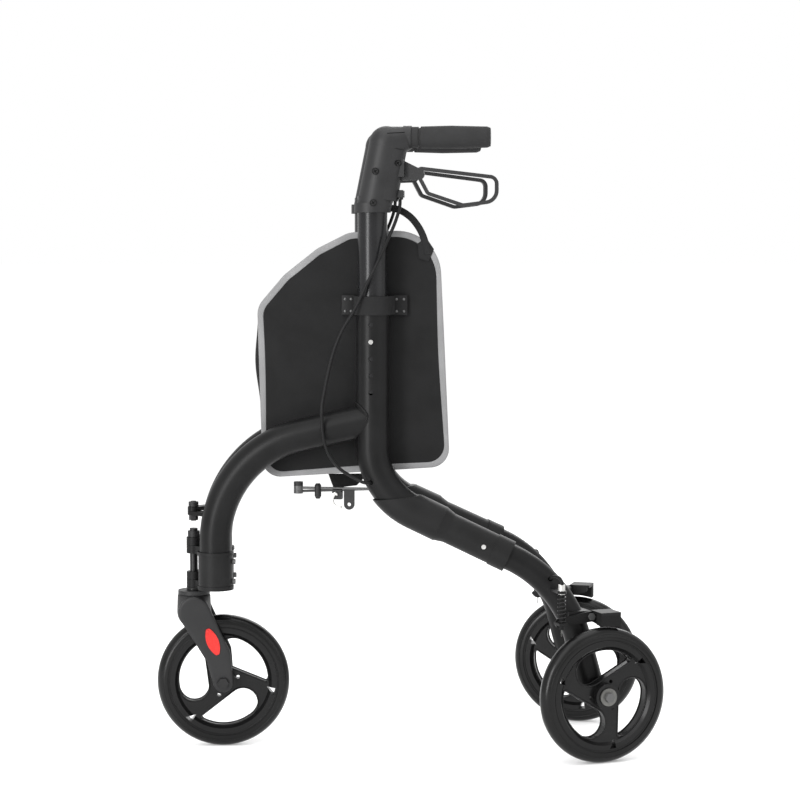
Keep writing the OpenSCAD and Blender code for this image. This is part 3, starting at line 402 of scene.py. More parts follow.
def sheet_faces(rows: int, columns: int) -> List[List[int]]:
    """Faces of a closed sheet made of two layers of points.

    Args:
        rows: rows of points in a layer.
        columns: points in a row.

    Returns:
        Indices of each face's vertices.
    """
    count, last = rows * columns, columns - 1
    faces: List[List[int]] = []
    for layer in (0, 1):
        for i in range(rows - 1):
            for j in range(last):
                a = layer * count + i * columns + j
                faces.append([a, a + 1, a + columns + 1, a + columns])
    rim = list(range(columns)) + [i * columns + last for i in range(1, rows)]
    rim += [(rows - 1) * columns + j for j in range(last - 1, -1, -1)]
    rim += [i * columns for i in range(rows - 2, 0, -1)]
    for k, a in enumerate(rim):
        c = rim[(k + 1) % len(rim)]
        faces.append([a, c, c + count, a + count])
    return faces


def length_of(path: Sequence[Vector]) -> float:
    """Length of a path, in metres."""
    return sum((path[i + 1] - path[i]).length for i in range(len(path) - 1))


def ride_all(pieces: Sequence[bpy.types.Object], body: str) -> List[bpy.types.Object]:
    """Lets pieces move with a body.

    Args:
        pieces: the pieces.
        body: the body's name.

    Returns:
        The same pieces.
    """
    for piece in pieces:
        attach(piece, body)
    return list(pieces)


def tube_mesh(name: str, path: Sequence[Vector], radius: float, sides: int = 12,
              flat: float = 1.0, up: Vector = Vector((0.0, 0.0, 1.0))) -> bpy.types.Mesh:
    """Sweeps a round or flattened section along a path.

    Args:
        name: the mesh's name.
        path: points in metres.
        radius: half the section's width in metres.
        sides: corners of the section.
        flat: the section's thickness as a share of its width.
        up: a direction that the section's thin way keeps square to.

    Returns:
        The closed mesh.
    """
    points: List[Vector] = []
    wide = Vector((1.0, 0.0, 0.0))
    for i, p in enumerate(path):
        ahead = (path[min(i + 1, len(path) - 1)] - path[max(i - 1, 0)]).normalized()
        turned = wide - ahead * wide.dot(ahead) if flat == 1.0 and i > 0 else ahead.cross(up)
        wide = turned.normalized() if turned.length > 1e-6 else Vector((1.0, 0.0, 0.0))
        thin = wide.cross(ahead).normalized()
        for k in range(sides):
            a = 2 * math.pi * k / sides
            points.append(p + radius * (math.cos(a) * wide + flat * math.sin(a) * thin))
    faces = ring_faces(len(path), sides)
    faces.append(list(range(sides)))
    faces.append(list(range((len(path) - 1) * sides, len(path) * sides)))
    return mesh_from(name, points, faces)


def smooth_path(points: Sequence[Vector], steps: int = 8) -> List[Vector]:
    """Runs a smooth curve through points.

    Args:
        points: the points.
        steps: how many pieces each stretch is cut into.

    Returns:
        Points along the curve.
    """
    out: List[Vector] = []
    for i in range(len(points) - 1):
        a, b = points[max(i - 1, 0)], points[i]
        c, d = points[i + 1], points[min(i + 2, len(points) - 1)]
        for j in range(steps):
            t = j / steps
            out.append(0.5 * (2 * b + (c - a) * t + (2 * a - 5 * b + 4 * c - d) * t ** 2
                              + (3 * b - a - 3 * c + d) * t ** 3))
    out.append(points[-1].copy())
    return out


def lathe_mesh(name: str, profile: Sequence[Point2], place: Callable[[float, float, float], Vector],
               sides: int = 48) -> bpy.types.Mesh:
    """Turns a profile about an axis.

    Args:
        name: the mesh's name.
        profile: pairs of radius and distance along the axis; a closed ring if it ends where it starts.
        place: maps two cross measures and the distance along the axis to the world.
        sides: steps round the axis.

    Returns:
        The mesh.
    """
    closed = profile[0] == profile[-1]
    rows = list(profile[:-1]) if closed else list(profile)
    points = [place(r * math.cos(2 * math.pi * k / sides), r * math.sin(2 * math.pi * k / sides), h)
              for r, h in rows for k in range(sides)]
    faces = ring_faces(len(rows), sides, closed)
    if not closed:
        faces.append(list(range(sides)))
        faces.append(list(range((len(rows) - 1) * sides, len(rows) * sides)))
    return mesh_from(name, points, faces)


def soften(obj: bpy.types.Object, width: float = 0.0006, segments: int = 2) -> bpy.types.Object:
    """Rounds a piece's sharp edges a little.

    Args:
        obj: the piece.
        width: width of the rounding in metres.
        segments: steps of the rounding.

    Returns:
        The same piece.
    """
    bevel = obj.modifiers.new("soft_edges", "BEVEL")
    bevel.width = width
    bevel.segments = segments
    bevel.limit_method = "ANGLE"
    bevel.angle_limit = math.radians(SOFT_DEG)
    return obj


@dataclass
class CadDress:
    """Gives the CAD nodes their finishes.

    Attributes:
        centre: finishes of the nodes in the middle, by name.
        sides: finishes of the nodes on both sides, by name without the side.
    """

    centre: dict = field(default_factory=lambda: {
        "hinge_pin": SCREW, "hinge_caps": PLASTIC, "fork": PLASTIC, "fork_cap": PLASTIC,
        "stem_bearing": STEEL, "reflectors": RED, "front_axle": SCREW, "front_rim": WHEEL,
        "front_tyre": TYRE, "front_bearings": BLACK_STEEL, "brace_catch": PLASTIC})
    sides: dict = field(default_factory=lambda: {
        "front_tube": PAINT, "main_tube": PAINT, "hinge_sleeve": CASTING, "leg_casting": CASTING,
        "rear_leg": PAINT, "axle_bolts": STEEL, "handle_tube": TUBE, "elbow_outer": PLASTIC,
        "elbow_inner": PLASTIC, "handle_fittings": SCREW, "grip": GRIP, "height_button": STEEL,
        "leg_button": STEEL, "brake_lever": PLASTIC, "brake_arm": CASTING, "brake_shoe": SHOE,
        "rim": WHEEL, "tyre": TYRE, "bearings": BLACK_STEEL, "brace_arm": BLACK_STEEL})

    def finish_of(self, node: str) -> Optional[Finish]:
        """Finds a node's finish.

        Args:
            node: the CAD node's name.

        Returns:
            Its finish, or None where a drawn piece stands for it.
        """
        if node in self.centre:
            return self.centre[node]
        return self.sides.get(node.split("_", 1)[1])

    def dress(self) -> None:
        """Puts each finish on its node."""
        for name, obj in frame["nodes"].items():
            finish = self.finish_of(name)
            if finish is None:
                continue
            obj.data.materials.clear()
            obj.data.materials.append(finish.material())
            if name.endswith("_axle_bolts"):
                self._sort_bolts(obj, Side(name.split("_", 1)[0]))
            LOG.info("dressed %s as %s", name, finish.name)

    def _sort_bolts(self, obj: bpy.types.Object, side: Side) -> None:
        """Tells the bright ferrule and the dull washer from the black bolts of one frame.

        Args:
            obj: the CAD node that holds them all.
            side: its side.
        """
        bright, dull, black = 0, 1, 2
        ferrule_reach, washer_reach, washer_face = 0.02, 0.018, 0.0225
        ferrule_at, washer_at = (60, -14, 158), (0, 21.0, 0)
        obj.data.materials.append(ZINC.material())
        obj.data.materials.append(BLACK_STEEL.material())
        axle = LAYOUT.at_wheel(side, 0, 0, 0)
        washer = LAYOUT.at_wheel(side, *washer_at)
        ferrule = LAYOUT.at_wheel(side, *ferrule_at)
        out = (washer - axle).normalized()
        for face in obj.data.polygons:
            place = obj.matrix_world @ face.center
            if (place - ferrule).length < ferrule_reach:
                face.material_index = bright
            elif (place - washer).length < washer_reach and (place - axle).dot(out) < washer_face:
                face.material_index = dull
            else:
                face.material_index = black


def convex(cloud: Iterable[Point2]) -> List[Point2]:
    """Convex outline of points in a plane.

    Args:
        cloud: the points.

    Returns:
        The outline's corners, anticlockwise.
    """
    pts = sorted(set((round(x, 4), round(y, 4)) for x, y in cloud))

    def half(seq: Iterable[Point2]) -> List[Point2]:
        """Half of the outline, without its last corner.

        Args:
            seq: the points, sorted.

        Returns:
            The corners.
        """
        chain: List[Point2] = []
        for p in seq:
            while len(chain) > 1 and ((chain[-1][0] - chain[-2][0]) * (p[1] - chain[-2][1])
                                      - (chain[-1][1] - chain[-2][1]) * (p[0] - chain[-2][0])) <= 0:
                chain.pop()
            chain.append(p)
        return chain[:-1]

    return half(pts) + half(reversed(pts))


@dataclass
class BagPanel:
    """One side panel of the bag: a padded cloth board with a bound edge.

    Attributes:
        side: the side frame that carries it.
        corners: corner circles as back, height and radius, in millimetres.
        inner: distance of its inner face from the hinge pin, across the frame.
        thick: thickness at the edge.
        swell: how far its middle swells outward.
        bind: width of the binding.
        tape: how far the binding stands off the inner and the outer face.
        middle: place that the edge is drawn in towards, as back and height.
    """

    side: Side
    corners: Tuple[Point3, ...] = (
        (132, 438, 27), (358, 455, 28), (308, 713, 66), (246, 747, 30), (206, 727, 30), (160, 691, 30),
        (129, 655, 30))
    inner: float = -5.0
    thick: float = 2.4
    swell: float = 0.8
    bind: float = 9.0
    tape: Point2 = (0.7, 1.0)
    middle: Point2 = (245.0, 590.0)

    def outline(self, inset: float = 0.0, count: int = 160) -> List[Point2]:
        """The panel's outline, evenly stepped.

        Args:
            inset: how far inside the edge, in millimetres.
            count: number of points.

        Returns:
            Points as back and height, in millimetres.
        """
        step_deg = 4
        turns = [math.radians(a) for a in range(0, 360, step_deg)]
        cloud = [(b + (r - inset) * math.cos(a), z + (r - inset) * math.sin(a))
                 for b, z, r in self.corners for a in turns]
        hull = convex(cloud)
        lengths = [math.dist(hull[i], hull[(i + 1) % len(hull)]) for i in range(len(hull))]
        total = sum(lengths)
        out: List[Point2] = []
        i, run = 0, 0.0
        for k in range(count):
            want = total * k / count
            while run + lengths[i] < want:
                run += lengths[i]
                i += 1
            t = (want - run) / lengths[i]
            a, b = hull[i], hull[(i + 1) % len(hull)]
            out.append((a[0] + t * (b[0] - a[0]), a[1] + t * (b[1] - a[1])))
        return out

    def drawn_in(self, point: Point2, inset: float, out: float) -> Vector:
        """World place of an edge point that is moved towards the panel's middle.

        Args:
            point: the edge point, as back and height.
            inset: how far it is moved, in millimetres.
            out: its distance from the hinge pin, across the frame.

        Returns:
            The place in metres.
        """
        k = max(0.0, 1.0 - inset / math.dist(point, self.middle))
        back, up = (m + (p - m) * k for m, p in zip(self.middle, point))
        return LAYOUT.on_side(self.side, back, out, up)

    def build(self) -> List[bpy.types.Object]:
        """Builds the cloth board and its binding.

        Returns:
            The pieces.
        """
        rings = [(0.0, 0.0), (1.5, 0.35), (9.0, 0.3), (12.0, 0.7), (40.0, 1.0), (75.0, 1.0), (100.0, 1.0)]
        count = 160
        ring = self.outline(0.0, count)
        points: List[Vector] = []
        faces: List[List[int]] = []
        for face_out in (1, 0):
            base = len(points)
            for inset, lift in rings:
                out = self.inner + (self.thick + self.swell * lift if face_out else 0.0)
                points += [self.drawn_in(p, inset, out) for p in ring]
            faces += [[base + i for i in face] for face in ring_faces(len(rings), count)]
            faces.append([base + (len(rings) - 1) * count + k for k in range(count)])
        off = len(rings) * count
        faces += [[k, (k + 1) % count, (k + 1) % count + off, k + off] for k in range(count)]
        board = new_object(self.side.body("bag_board"), mesh_from("bag_board", points, faces), CLOTH)
        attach(board, self.side.body("frame"))
        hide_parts(self.side.body("bag_panel"))
        return [board, self.binding()]

    def binding(self) -> bpy.types.Object:
        """The tape sewn round the panel's edge.

        Returns:
            The piece.
        """
        count = 200
        hem, turn, over = 0.3, 1.0, 0.6
        low, high = self.inner - self.tape[0], self.inner + self.thick + self.tape[1]
        section = [(self.bind, high - hem), (self.bind - turn, high), (turn, high), (-over, high - over),
                   (-over, low + over), (turn, low), (self.bind - turn, low), (self.bind, low + hem)]
        points = [self.drawn_in(p, inset, out) for p in self.outline(0.0, count) for inset, out in section]
        faces = ring_faces(count, len(section), closed=True)
        tape = new_object(self.side.body("bag_binding"), mesh_from("bag_binding", points, faces), BINDING)
        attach(tape, self.side.body("frame"))
        return tape


@dataclass
class BagGusset:
    """Front, bottom and back of the bag: cloth that folds between the panels.

    Attributes:
        panel: a panel, whose outline the cloth follows.
        rim: height of the bag's open edge, in millimetres.
        sag: how far the bottom hangs down in the middle.
        tuck: how far the back is drawn in, in the middle.
        swell: how far the front stands out, at its middle height.
        thick: the cloth's thickness.
        seams: distances back along the frame at which the cloth is cut into strips.
        across: steps across half the cloth.
        inset: how far inside the panel's edge the cloth runs.
        clear: its distance from the panel's inner face.
        sag_top: height under which the cloth sags.
        draw: height from which the cloth is drawn in instead, and over which height that grows.
        bulge: height of the front's swell, and half its extent.
    """

    panel: BagPanel
    rim: float = 672.0
    sag: float = 3.0
    tuck: float = 5.0
    swell: float = 7.0
    thick: float = 1.2
    seams: Tuple[float, ...] = (112.0, 150.0, 200.0, 260.0, 330.0, 380.0)
    across: int = 8
    inset: float = 1.2
    clear: float = 0.2
    sag_top: float = 470.0
    draw: Point2 = (440.0, 60.0)
    bulge: Point2 = (583.0, 48.0)

    def route(self) -> List[Point2]:
        """The open outline from the front rim, under the bag and up to the back rim.

        Returns:
            Points as back and height, in millimetres.
        """
        count, far_apart = 220, 30.0
        ring = self.panel.outline(self.inset, count)
        below = [p for p in ring if p[1] <= self.rim]
        start = min(range(len(below)), key=lambda i: (below[i][0] > self.panel.middle[0], -below[i][1]))
        run = below[start:] + below[:start]
        if run[1][1] > run[0][1] or math.dist(run[0], run[1]) > far_apart:
            run = [run[0]] + run[:0:-1]
        return run

    def half_width(self, back: float) -> float:
        """Half the width between the panels, so far back along the frame."""
        f = math.radians(LAYOUT.fold_deg)
        return back * math.sin(f) + (self.panel.inner - self.clear) * math.cos(f)

    def build(self) -> List[bpy.types.Object]:
        """Builds the cloth in strips, on both sides of the middle plane.

        Returns:
            The pieces.
        """
        run = self.route()
        cuts = [0, *(next(i for i, p in enumerate(run) if p[0] > back) for back in self.seams), len(run) - 1]
        pieces = [self._strip(side, s, run[cuts[s]:cuts[s + 1] + 1])
                  for side in Side for s in range(len(cuts) - 1)]
        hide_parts("bag_gusset")
        return pieces

    def _strip(self, side: Side, number: int, part: Sequence[Point2]) -> bpy.types.Object:
        """One strip of the cloth, from the middle plane to a panel.

        Args:
            side: the panel's side.
            number: the strip's number, from the front rim.
            part: its stretch of the outline.

        Returns:
            The piece.
        """
        points = [self._place(side, p, j / self.across, inward)
                  for inward in (0.0, self.thick) for p in part for j in range(self.across + 1)]
        mesh = mesh_from("bag_gusset", points, sheet_faces(len(part), self.across + 1))
        strip = new_object(side.body(f"bag_gusset_{number}"), mesh, CLOTH)
        side.body("bag_board")
        side.body("frame")
        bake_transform(strip)
        return strip

    def _place(self, side: Side, point: Point2, share: float, inward: float) -> Vector:
        """World place of a point of the cloth.

        Args:
            side: its side.
            point: where its row meets the outline, as back and height.
            share: how far it is from the middle plane to the panel, from 0 to 1.
            inward: how far it is inside the cloth's outer layer, in millimetres.

        Returns:
            The place in metres.
        """
        back, up = point
        start, extent = self.draw
        drawn = min(1.0, max(0.0, (up - start) / extent))
        bow = 1.0 - share * share
        if back > self.panel.middle[0]:
            toward, moved = -1.0, self.tuck
        else:
            height, half = self.bulge
            toward, moved = 1.0, -self.swell * math.exp(-((up - height) / half) ** 2)
        sag = self.sag if up < self.sag_top else 0.0
        x = LAYOUT.hinge_x - back * math.cos(math.radians(LAYOUT.fold_deg))
        x -= (bow * moved + inward) * toward * drawn
        z = up - bow * (1 - drawn) * sag + inward * (1 - drawn)
        return Vector((x, side.sign * self.half_width(back) * share, z)) * MM


@dataclass
class BagStrap:
    """Strap that holds a panel to the main tube, with a riveted plate at each end.

    Attributes:
        side: the side frame.
        low: height of its lower edge, in millimetres.
        high: height of its upper edge.
        tube_r: radius of the strap round the tube.
        reach: how far it goes on past the tube's middle, on both sides.
        thick: the band's thickness.
        plates: front and rear edge of each plate, back from the hinge pin.
        face: distance of the plates' inner faces from the hinge pin, across the frame.
        plate_t: the plates' thickness.
        margin: distance of the rivets from the plates' front and rear edges, and from the strap's edges.
    """

    side: Side
    low: float = 655.0
    high: float = 683.0
    tube_r: float = 25.4
    reach: float = 44.0
    thick: float = 1.3
    plates: Tuple[Point2, ...] = ((226.0, 246.0), (303.0, 325.0))
    face: float = 0.2
    plate_t: float = 4.4
    margin: Point2 = (5.5, 5.0)

    def build(self) -> List[bpy.types.Object]:
        """Builds the band, the plates and the rivets.

        Returns:
            The pieces.
        """
        band = new_object(self.side.body("strap_band"), self._band(), WEBBING)
        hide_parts(self.side.body("bag_strap"))
        pieces = [band]
        for i, (near, far) in enumerate(self.plates):
            plate = new_object(self.side.body(f"strap_plate_{i}"), self._plate(near, far), CASTING)
            pieces.append(soften(plate, 0.0012, 3))
            along, up = self.margin
            spots = [(b, z) for b in (near + along, far - along) for z in (self.low + up, self.high - up)]
            pieces += [self._rivet(f"strap_rivet_{i}_{j}", *spot) for j, spot in enumerate(spots)]
        return ride_all(pieces, self.side.body("frame"))

    def _band(self) -> bpy.types.Mesh:
        """The band: over the tube's outer half and back to the panel on both sides.

        Returns:
            Its mesh.
        """
        lead = [(self.reach, 2.0), (self.tube_r + 6.0, 2.4), (self.tube_r + 1.0, 8.0)]
        path = [(-b, v) for b, v in lead]
        for a in (math.radians(deg) for deg in range(170, 9, -10)):
            path.append((self.tube_r * math.cos(a), LAYOUT.frame_offset + self.tube_r * math.sin(a)))
        path += lead[::-1]
        selvage = 2
        levels = (self.low, self.low + selvage, self.high - selvage, self.high)
        points: List[Vector] = []
        for i, (b, v) in enumerate(path):
            p, q = path[max(i - 1, 0)], path[min(i + 1, len(path) - 1)]
            run = math.dist(p, q)
            nb, nv = -(q[1] - p[1]) / run, (q[0] - p[0]) / run
            for t in (0.0, self.thick):
                back, out = LAYOUT.main_back + b + nb * t, v + nv * t
                points += [LAYOUT.on_side(self.side, back, out, z) for z in levels]
        n = 2 * len(levels)
        order = [0, 1, 2, 3, 7, 6, 5, 4]
        faces = [[i // n * n + order[i % n] for i in face] for face in ring_faces(len(path), n)]
        faces.append(order)
        faces.append([(len(path) - 1) * n + k for k in order])
        return mesh_from("strap_band", points, faces)

    def _plate(self, near: float, far: float) -> bpy.types.Mesh:
        """A plate on the panel.

        Args:
            near: its front edge, back from the hinge pin.
            far: its rear edge.

        Returns:
            Its mesh.
        """
        over = 1
        corners = [(b, v, z) for b in (near, far) for v in (self.face, self.face + self.plate_t)
                   for z in (self.low - over, self.high + over)]
        points = [LAYOUT.on_side(self.side, *c) for c in corners]
        faces = [[0, 1, 3, 2], [4, 5, 7, 6], [0, 1, 5, 4], [2, 3, 7, 6], [0, 2, 6, 4], [1, 3, 7, 5]]
        return mesh_from("strap_plate", points, faces)

    def _rivet(self, name: str, back: float, up: float) -> bpy.types.Object:
        """A domed rivet in a plate.

        Args:
            name: the piece's name.
            back: its place behind the hinge pin.
            up: its height.

        Returns:
            The piece.
        """
        face = self.face + self.plate_t - 0.2
        profile = [(2.1, face), (2.0, face + 0.6), (1.4, face + 1.1), (0.4, face + 1.3)]
        mesh = lathe_mesh("rivet", profile,
                          lambda a, b, h: LAYOUT.on_side(self.side, back + a, h, up + b), 20)
        return new_object(self.side.body(name), mesh, BLACK_STEEL)


@dataclass
class CarryStrap:
    """Loop of webbing on the bag's rear top corner, with its sewn tab.

    Attributes:
        side: the panel that it is sewn to.
        places: the loop's way, as back, out and height in millimetres.
        half: half the loop's width.
        flat: the loop's thickness as a share of its width.
        tab: the tab's corners, as back and height.
        tab_faces: distances of the tab's two faces from the hinge pin, across the frame.
    """

    side: Side = Side.LEFT
    places: Tuple[Point3, ...] = (
        (355, 0.3, 744), (352, 0.3, 758), (347.5, -0.2, 772), (340, -2.5, 786), (328, -6, 800),
        (312, -8.5, 810), (296, -9, 813), (280, -9, 807), (266, -8.5, 791), (256, -8, 771), (252, -7.5, 753))
    half: float = 5.2
    flat: float = 0.22
    tab: Tuple[Point2, ...] = ((339, 760), (352, 770), (364, 752), (356, 734), (341, 738))
    tab_faces: Point2 = (-1.5, 0.4)

    def build(self) -> List[bpy.types.Object]:
        """Builds the loop and the tab.

        Returns:
            The pieces.
        """
        path = smooth_path([LAYOUT.on_side(self.side, *p) for p in self.places], 6)
        mesh = tube_mesh("carry_loop", path, self.half * MM, 12, self.flat, LAYOUT.across(self.side))
        loop = new_object("carry_loop", mesh, WEBBING)
        n = len(self.tab)
        points = [LAYOUT.on_side(self.side, b, v, z) for v in self.tab_faces for b, z in self.tab]
        faces = [list(range(n)), list(range(n, 2 * n))] + ring_faces(2, n)
        tab = soften(new_object("carry_tab", mesh_from("carry_tab", points, faces), WEBBING), 0.001)
        self.side.body("bag_board")
        return ride_all([loop, tab], self.side.body("frame"))


@dataclass
class BrakeLine:
    """The brake cable, its bare wire, and the return spring.

    Attributes:
        side: the side frame.
        route: the cable's way from the adjuster to the frame's lower hole and on to its stop, as back, out
            and height in millimetres.
        into_stop: its last points, in its stop, as ahead, out and up from the wheel's middle.
        wire: lower and upper end of the bare wire, above the wheel's middle.
        cable_r: radius of the cable's casing.
        wire_r: radius of the bare wire.
        sleeve: lower and upper end of the sleeve in the spring, above the wheel's middle.
        sleeve_r: its radius.
        bend_at: number of the route's point that the cable's bend starts from.
        bend_low: height under which the cable stays with the frame.
        bend_high: height over which the cable would go with the handle; not used.
        stop_z: height of the spring's fixed end.
        keep: the spring's length at full brake, as a share; not used.
    """

    side: Side
    route: Tuple[Point3, ...] = (
        (316, 26, 826), (315, 28, 812), (309, 36, 790), (298, 48, 762), (286, 53, 734), (268, 54, 698),
        (251, 54, 663), (233, 54, 633), (221, 54, 604), (213, 54, 574), (207, 54, 545), (203, 55, 520),
        (203, 55, 494), (206, 55, 470), (214, 54, 448), (230, 53, 428), (250, 53, 416), (262, 55, 410),
        (270, 54, 408), (274, 48, 408), (274, 40, 407), (277, 33, 403), (284, 28, 396), (296, 26, 384),
        (318, 26, 372), (337, 26, 364), (373, 26, 347), (409, 26, 330), (446, 26, 313), (482, 26, 296),
        (505, 26, 284), (520, 28, 275), (531, 33, 270), (540, 40, 268), (541, 48, 270), (547, 60, 274),
        (554, 70, 273))
    into_stop: Tuple[Point3, ...] = ((60, -14, 167), (60, -14, 155))
    wire: Point2 = (88.0, 158.0)
    cable_r: float = 2.5
    wire_r: float = 0.8
    sleeve: Point2 = (110.0, 148.0)
    sleeve_r: float = 4.2
    bend_at: int = 5
    bend_low: float = 665.0
    bend_high: float = 815.0
    stop_z: float = 250.0
    keep: float = 0.9

    def build(self) -> List[bpy.types.Object]:
        """Builds the cable, the wire, the spring and its sleeve."""
        return [self._cable(), self._wire(), self._squeezed(self._spring()), self._squeezed(self._sleeve())]

    def _cable(self) -> bpy.types.Object:
        """The cable in its casing, at its real length.

        Returns:
            The piece.
        """
        points = [LAYOUT.on_side(self.side, *p) for p in self.route]
        points += [LAYOUT.at_wheel(self.side, *p) for p in self.into_stop]
        path = smooth_path(points, 5)
        mesh = tube_mesh("brake_cable", path, self.cable_r * MM, 14)
        cable = new_object(self.side.body("brake_cable_shown"), mesh, CABLE)
        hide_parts(self.side.body("brake_cable"))
        low = LAYOUT.on_side(self.side, *self.route[self.bend_at])
        low.z = self.bend_low * MM
        self.side.body("frame")
        self.side.body("handle")
        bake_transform(cable)
        return cable

    def _wire(self) -> bpy.types.Object:
        """The bare wire between the cable's stop and the brake arm.

        Returns:
            The piece.
        """
        ahead, out, _ = self.into_stop[0]
        low, high = self.wire
        steps = 8
        path = [LAYOUT.at_wheel(self.side, ahead, out, low + (high - low) * k / steps)
                for k in range(steps + 1)]
        mesh = tube_mesh("brake_wire", path, self.wire_r * MM, 10, up=Vector((1.0, 0.0, 0.0)))
        wire = new_object(self.side.body("brake_wire"), mesh, ZINC)
        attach(wire, self.side.body("frame"))
        return wire

    def _spring(self) -> bpy.types.Object:
        """The return spring, with the turns of its CAD node.

        Returns:
            The piece.
        """
        name = self.side.body("brake_spring")
        spring = new_object(self.side.body("brake_spring_shown"), frame["nodes"][name].data.copy(), SCREW)
        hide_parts(name)
        return spring

    def _sleeve(self) -> bpy.types.Object:
        """The pleated rubber sleeve inside the spring, which keeps dirt off the wire.

        Returns:
            The piece.
        """
        low, high = self.sleeve
        steps, pleat = 24, 0.9
        ahead, out, _ = self.into_stop[0]
        profile = [(self.sleeve_r - pleat * (k % 2), low + (high - low) * k / steps)
                   for k in range(steps + 1)]
        mesh = lathe_mesh("spring_sleeve", profile,
                          lambda a, b, h: LAYOUT.at_wheel(self.side, ahead + a, out + b, h), 20)
        return new_object(self.side.body("spring_sleeve"), mesh, SHOE)

    def _squeezed(self, piece: bpy.types.Object) -> bpy.types.Object:
        """Gives a piece a mesh of its own and lets it move with the side frame.

        Args:
            piece: the piece.

        Returns:
            The same piece.
        """
        anchor = LAYOUT.at_wheel(self.side, *self.into_stop[0])
        anchor.z = self.stop_z * MM
        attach(piece, self.side.body("frame"))
        self.side.body("brake_swing")
        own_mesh(piece)
        return piece


@dataclass
class WeldBead:
    """Ring of weld where a front tube meets its main tube.

    Attributes:
        side: the side frame.
        tube_r: radius of both tubes, in millimetres.
        lift: how far the bead stands off the main tube.
        meet_z: height at which the front tube's middle line meets the main tube's.
        slope: how far the front tube's end leans up from level, in degrees.
        steps: points round the bead.
        half: half the bead's thickness.
    """

    side: Side
    tube_r: float = 24.0
    lift: float = 0.6
    meet_z: float = 508.0
    slope: float = 13.0
    steps: int = 64
    half: float = 1.7

    def build(self) -> List[bpy.types.Object]:
        """Builds the bead along the line where the two tubes meet.

        Returns:
            The piece.
        """
        lean = math.radians(self.slope)
        path: List[Vector] = []
        for k in range(self.steps):
            a = 2 * math.pi * k / self.steps
            v = self.tube_r * math.cos(a)
            ahead = math.sqrt(max(0.0, (self.tube_r + self.lift) ** 2 - v ** 2))
            up = self.tube_r * math.sin(a) / math.cos(lean) - ahead * math.tan(lean)
            path.append(LAYOUT.on_side(self.side, LAYOUT.main_back - ahead, LAYOUT.frame_offset + v,
                                       self.meet_z + up))
        path.append(path[0].copy())
        mesh = tube_mesh("weld_bead", path, self.half * MM, 8)
        bead = new_object(self.side.body("weld_bead"), mesh, PAINT)
        return ride_all([bead], self.side.body("frame"))


@dataclass
class BagFoot:
    """Cloth flap that hangs from the middle of the bag's bottom, over the brace.

    Attributes:
        corners: its corners as X and height, in millimetres, in order round its edge.
        half: half its thickness.
        wave: how far its lower edge waves to each side.
    """

    corners: Tuple[Point2, ...] = ((117.0, 413.0), (56.0, 413.0), (74.0, 395.0), (109.0, 391.0))
    half: float = 0.8
    wave: float = 0.9

    def build(self) -> List[bpy.types.Object]:
        """Builds the flap with a soft fold down its middle.

        Returns:
            The piece.
        """
        steps = 10
        (xa, za), (xb, zb), (xc, zc), (xd, zd) = self.corners
        points: List[Vector] = []
        for layer in (-1, 1):
            for i in range(steps + 1):
                t = i / steps
                for j in range(steps + 1):
                    s = j / steps
                    x = (1 - t) * (xa + s * (xb - xa)) + t * (xd + s * (xc - xd))
                    z = (1 - t) * (za + s * (zb - za)) + t * (zd + s * (zc - zd))
                    fold = self.wave * t * math.sin(2 * math.pi * s)
                    points.append(Vector((x, fold + layer * self.half, z)) * MM)
        faces = sheet_faces(steps + 1, steps + 1)
        flap = new_object("bag_foot", mesh_from("bag_foot", points, faces), CLOTH)
        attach(flap, "head")
        return [flap]


@dataclass
class WheelRings:
    """Rings on both faces of a wheel: one on the tyre, one on the rim's lip, and a line of painted shade in
    the seam between them.

    Attributes:
        name: the wheel's name.
        body: the body that it turns with.
        place: maps ahead, out and up from the wheel's middle to the world.
        rings: name, radius, distance out and half thickness of each ring, in millimetres.
        finishes: the rings' finishes.
    """

    name: str
    body: str
    place: Callable[[float, float, float], Vector]
    # The seam ring is painted shade: a dark line laid in the crease between tyre and rim, where shadow falls.
    rings: Tuple[Tuple[str, float, float, float], ...] = (
        ("tyre", 91.0, 13.2, 0.8), ("lip", 81.5, 13.0, 0.9), ("seam", 84.3, 13.0, 0.6))
    finishes: Dict[str, Finish] = field(default_factory=lambda: {"tyre": TYRE, "lip": WHEEL, "seam": RECESS_SHADE})

    def build(self) -> List[bpy.types.Object]:
        """Builds the rings on both faces.

        Returns:
            The pieces.
        """
        pieces = []
        for label, radius, out, half in self.rings:
            for sign in (-1, 1):
                turns = [math.radians(a) for a in range(0, 360, 45)]
                profile = [(radius + half * math.cos(a), sign * out + half * math.sin(a)) for a in turns]
                profile.append(profile[0])
                mesh = lathe_mesh("ring", profile, lambda a, b, h: self.place(a, h, b), 72)
                name = f"{self.name}_{label}_ring_{'outer' if sign > 0 else 'inner'}"
                pieces.append(new_object(name, mesh, self.finishes[label]))
        return ride_all(pieces, self.body)


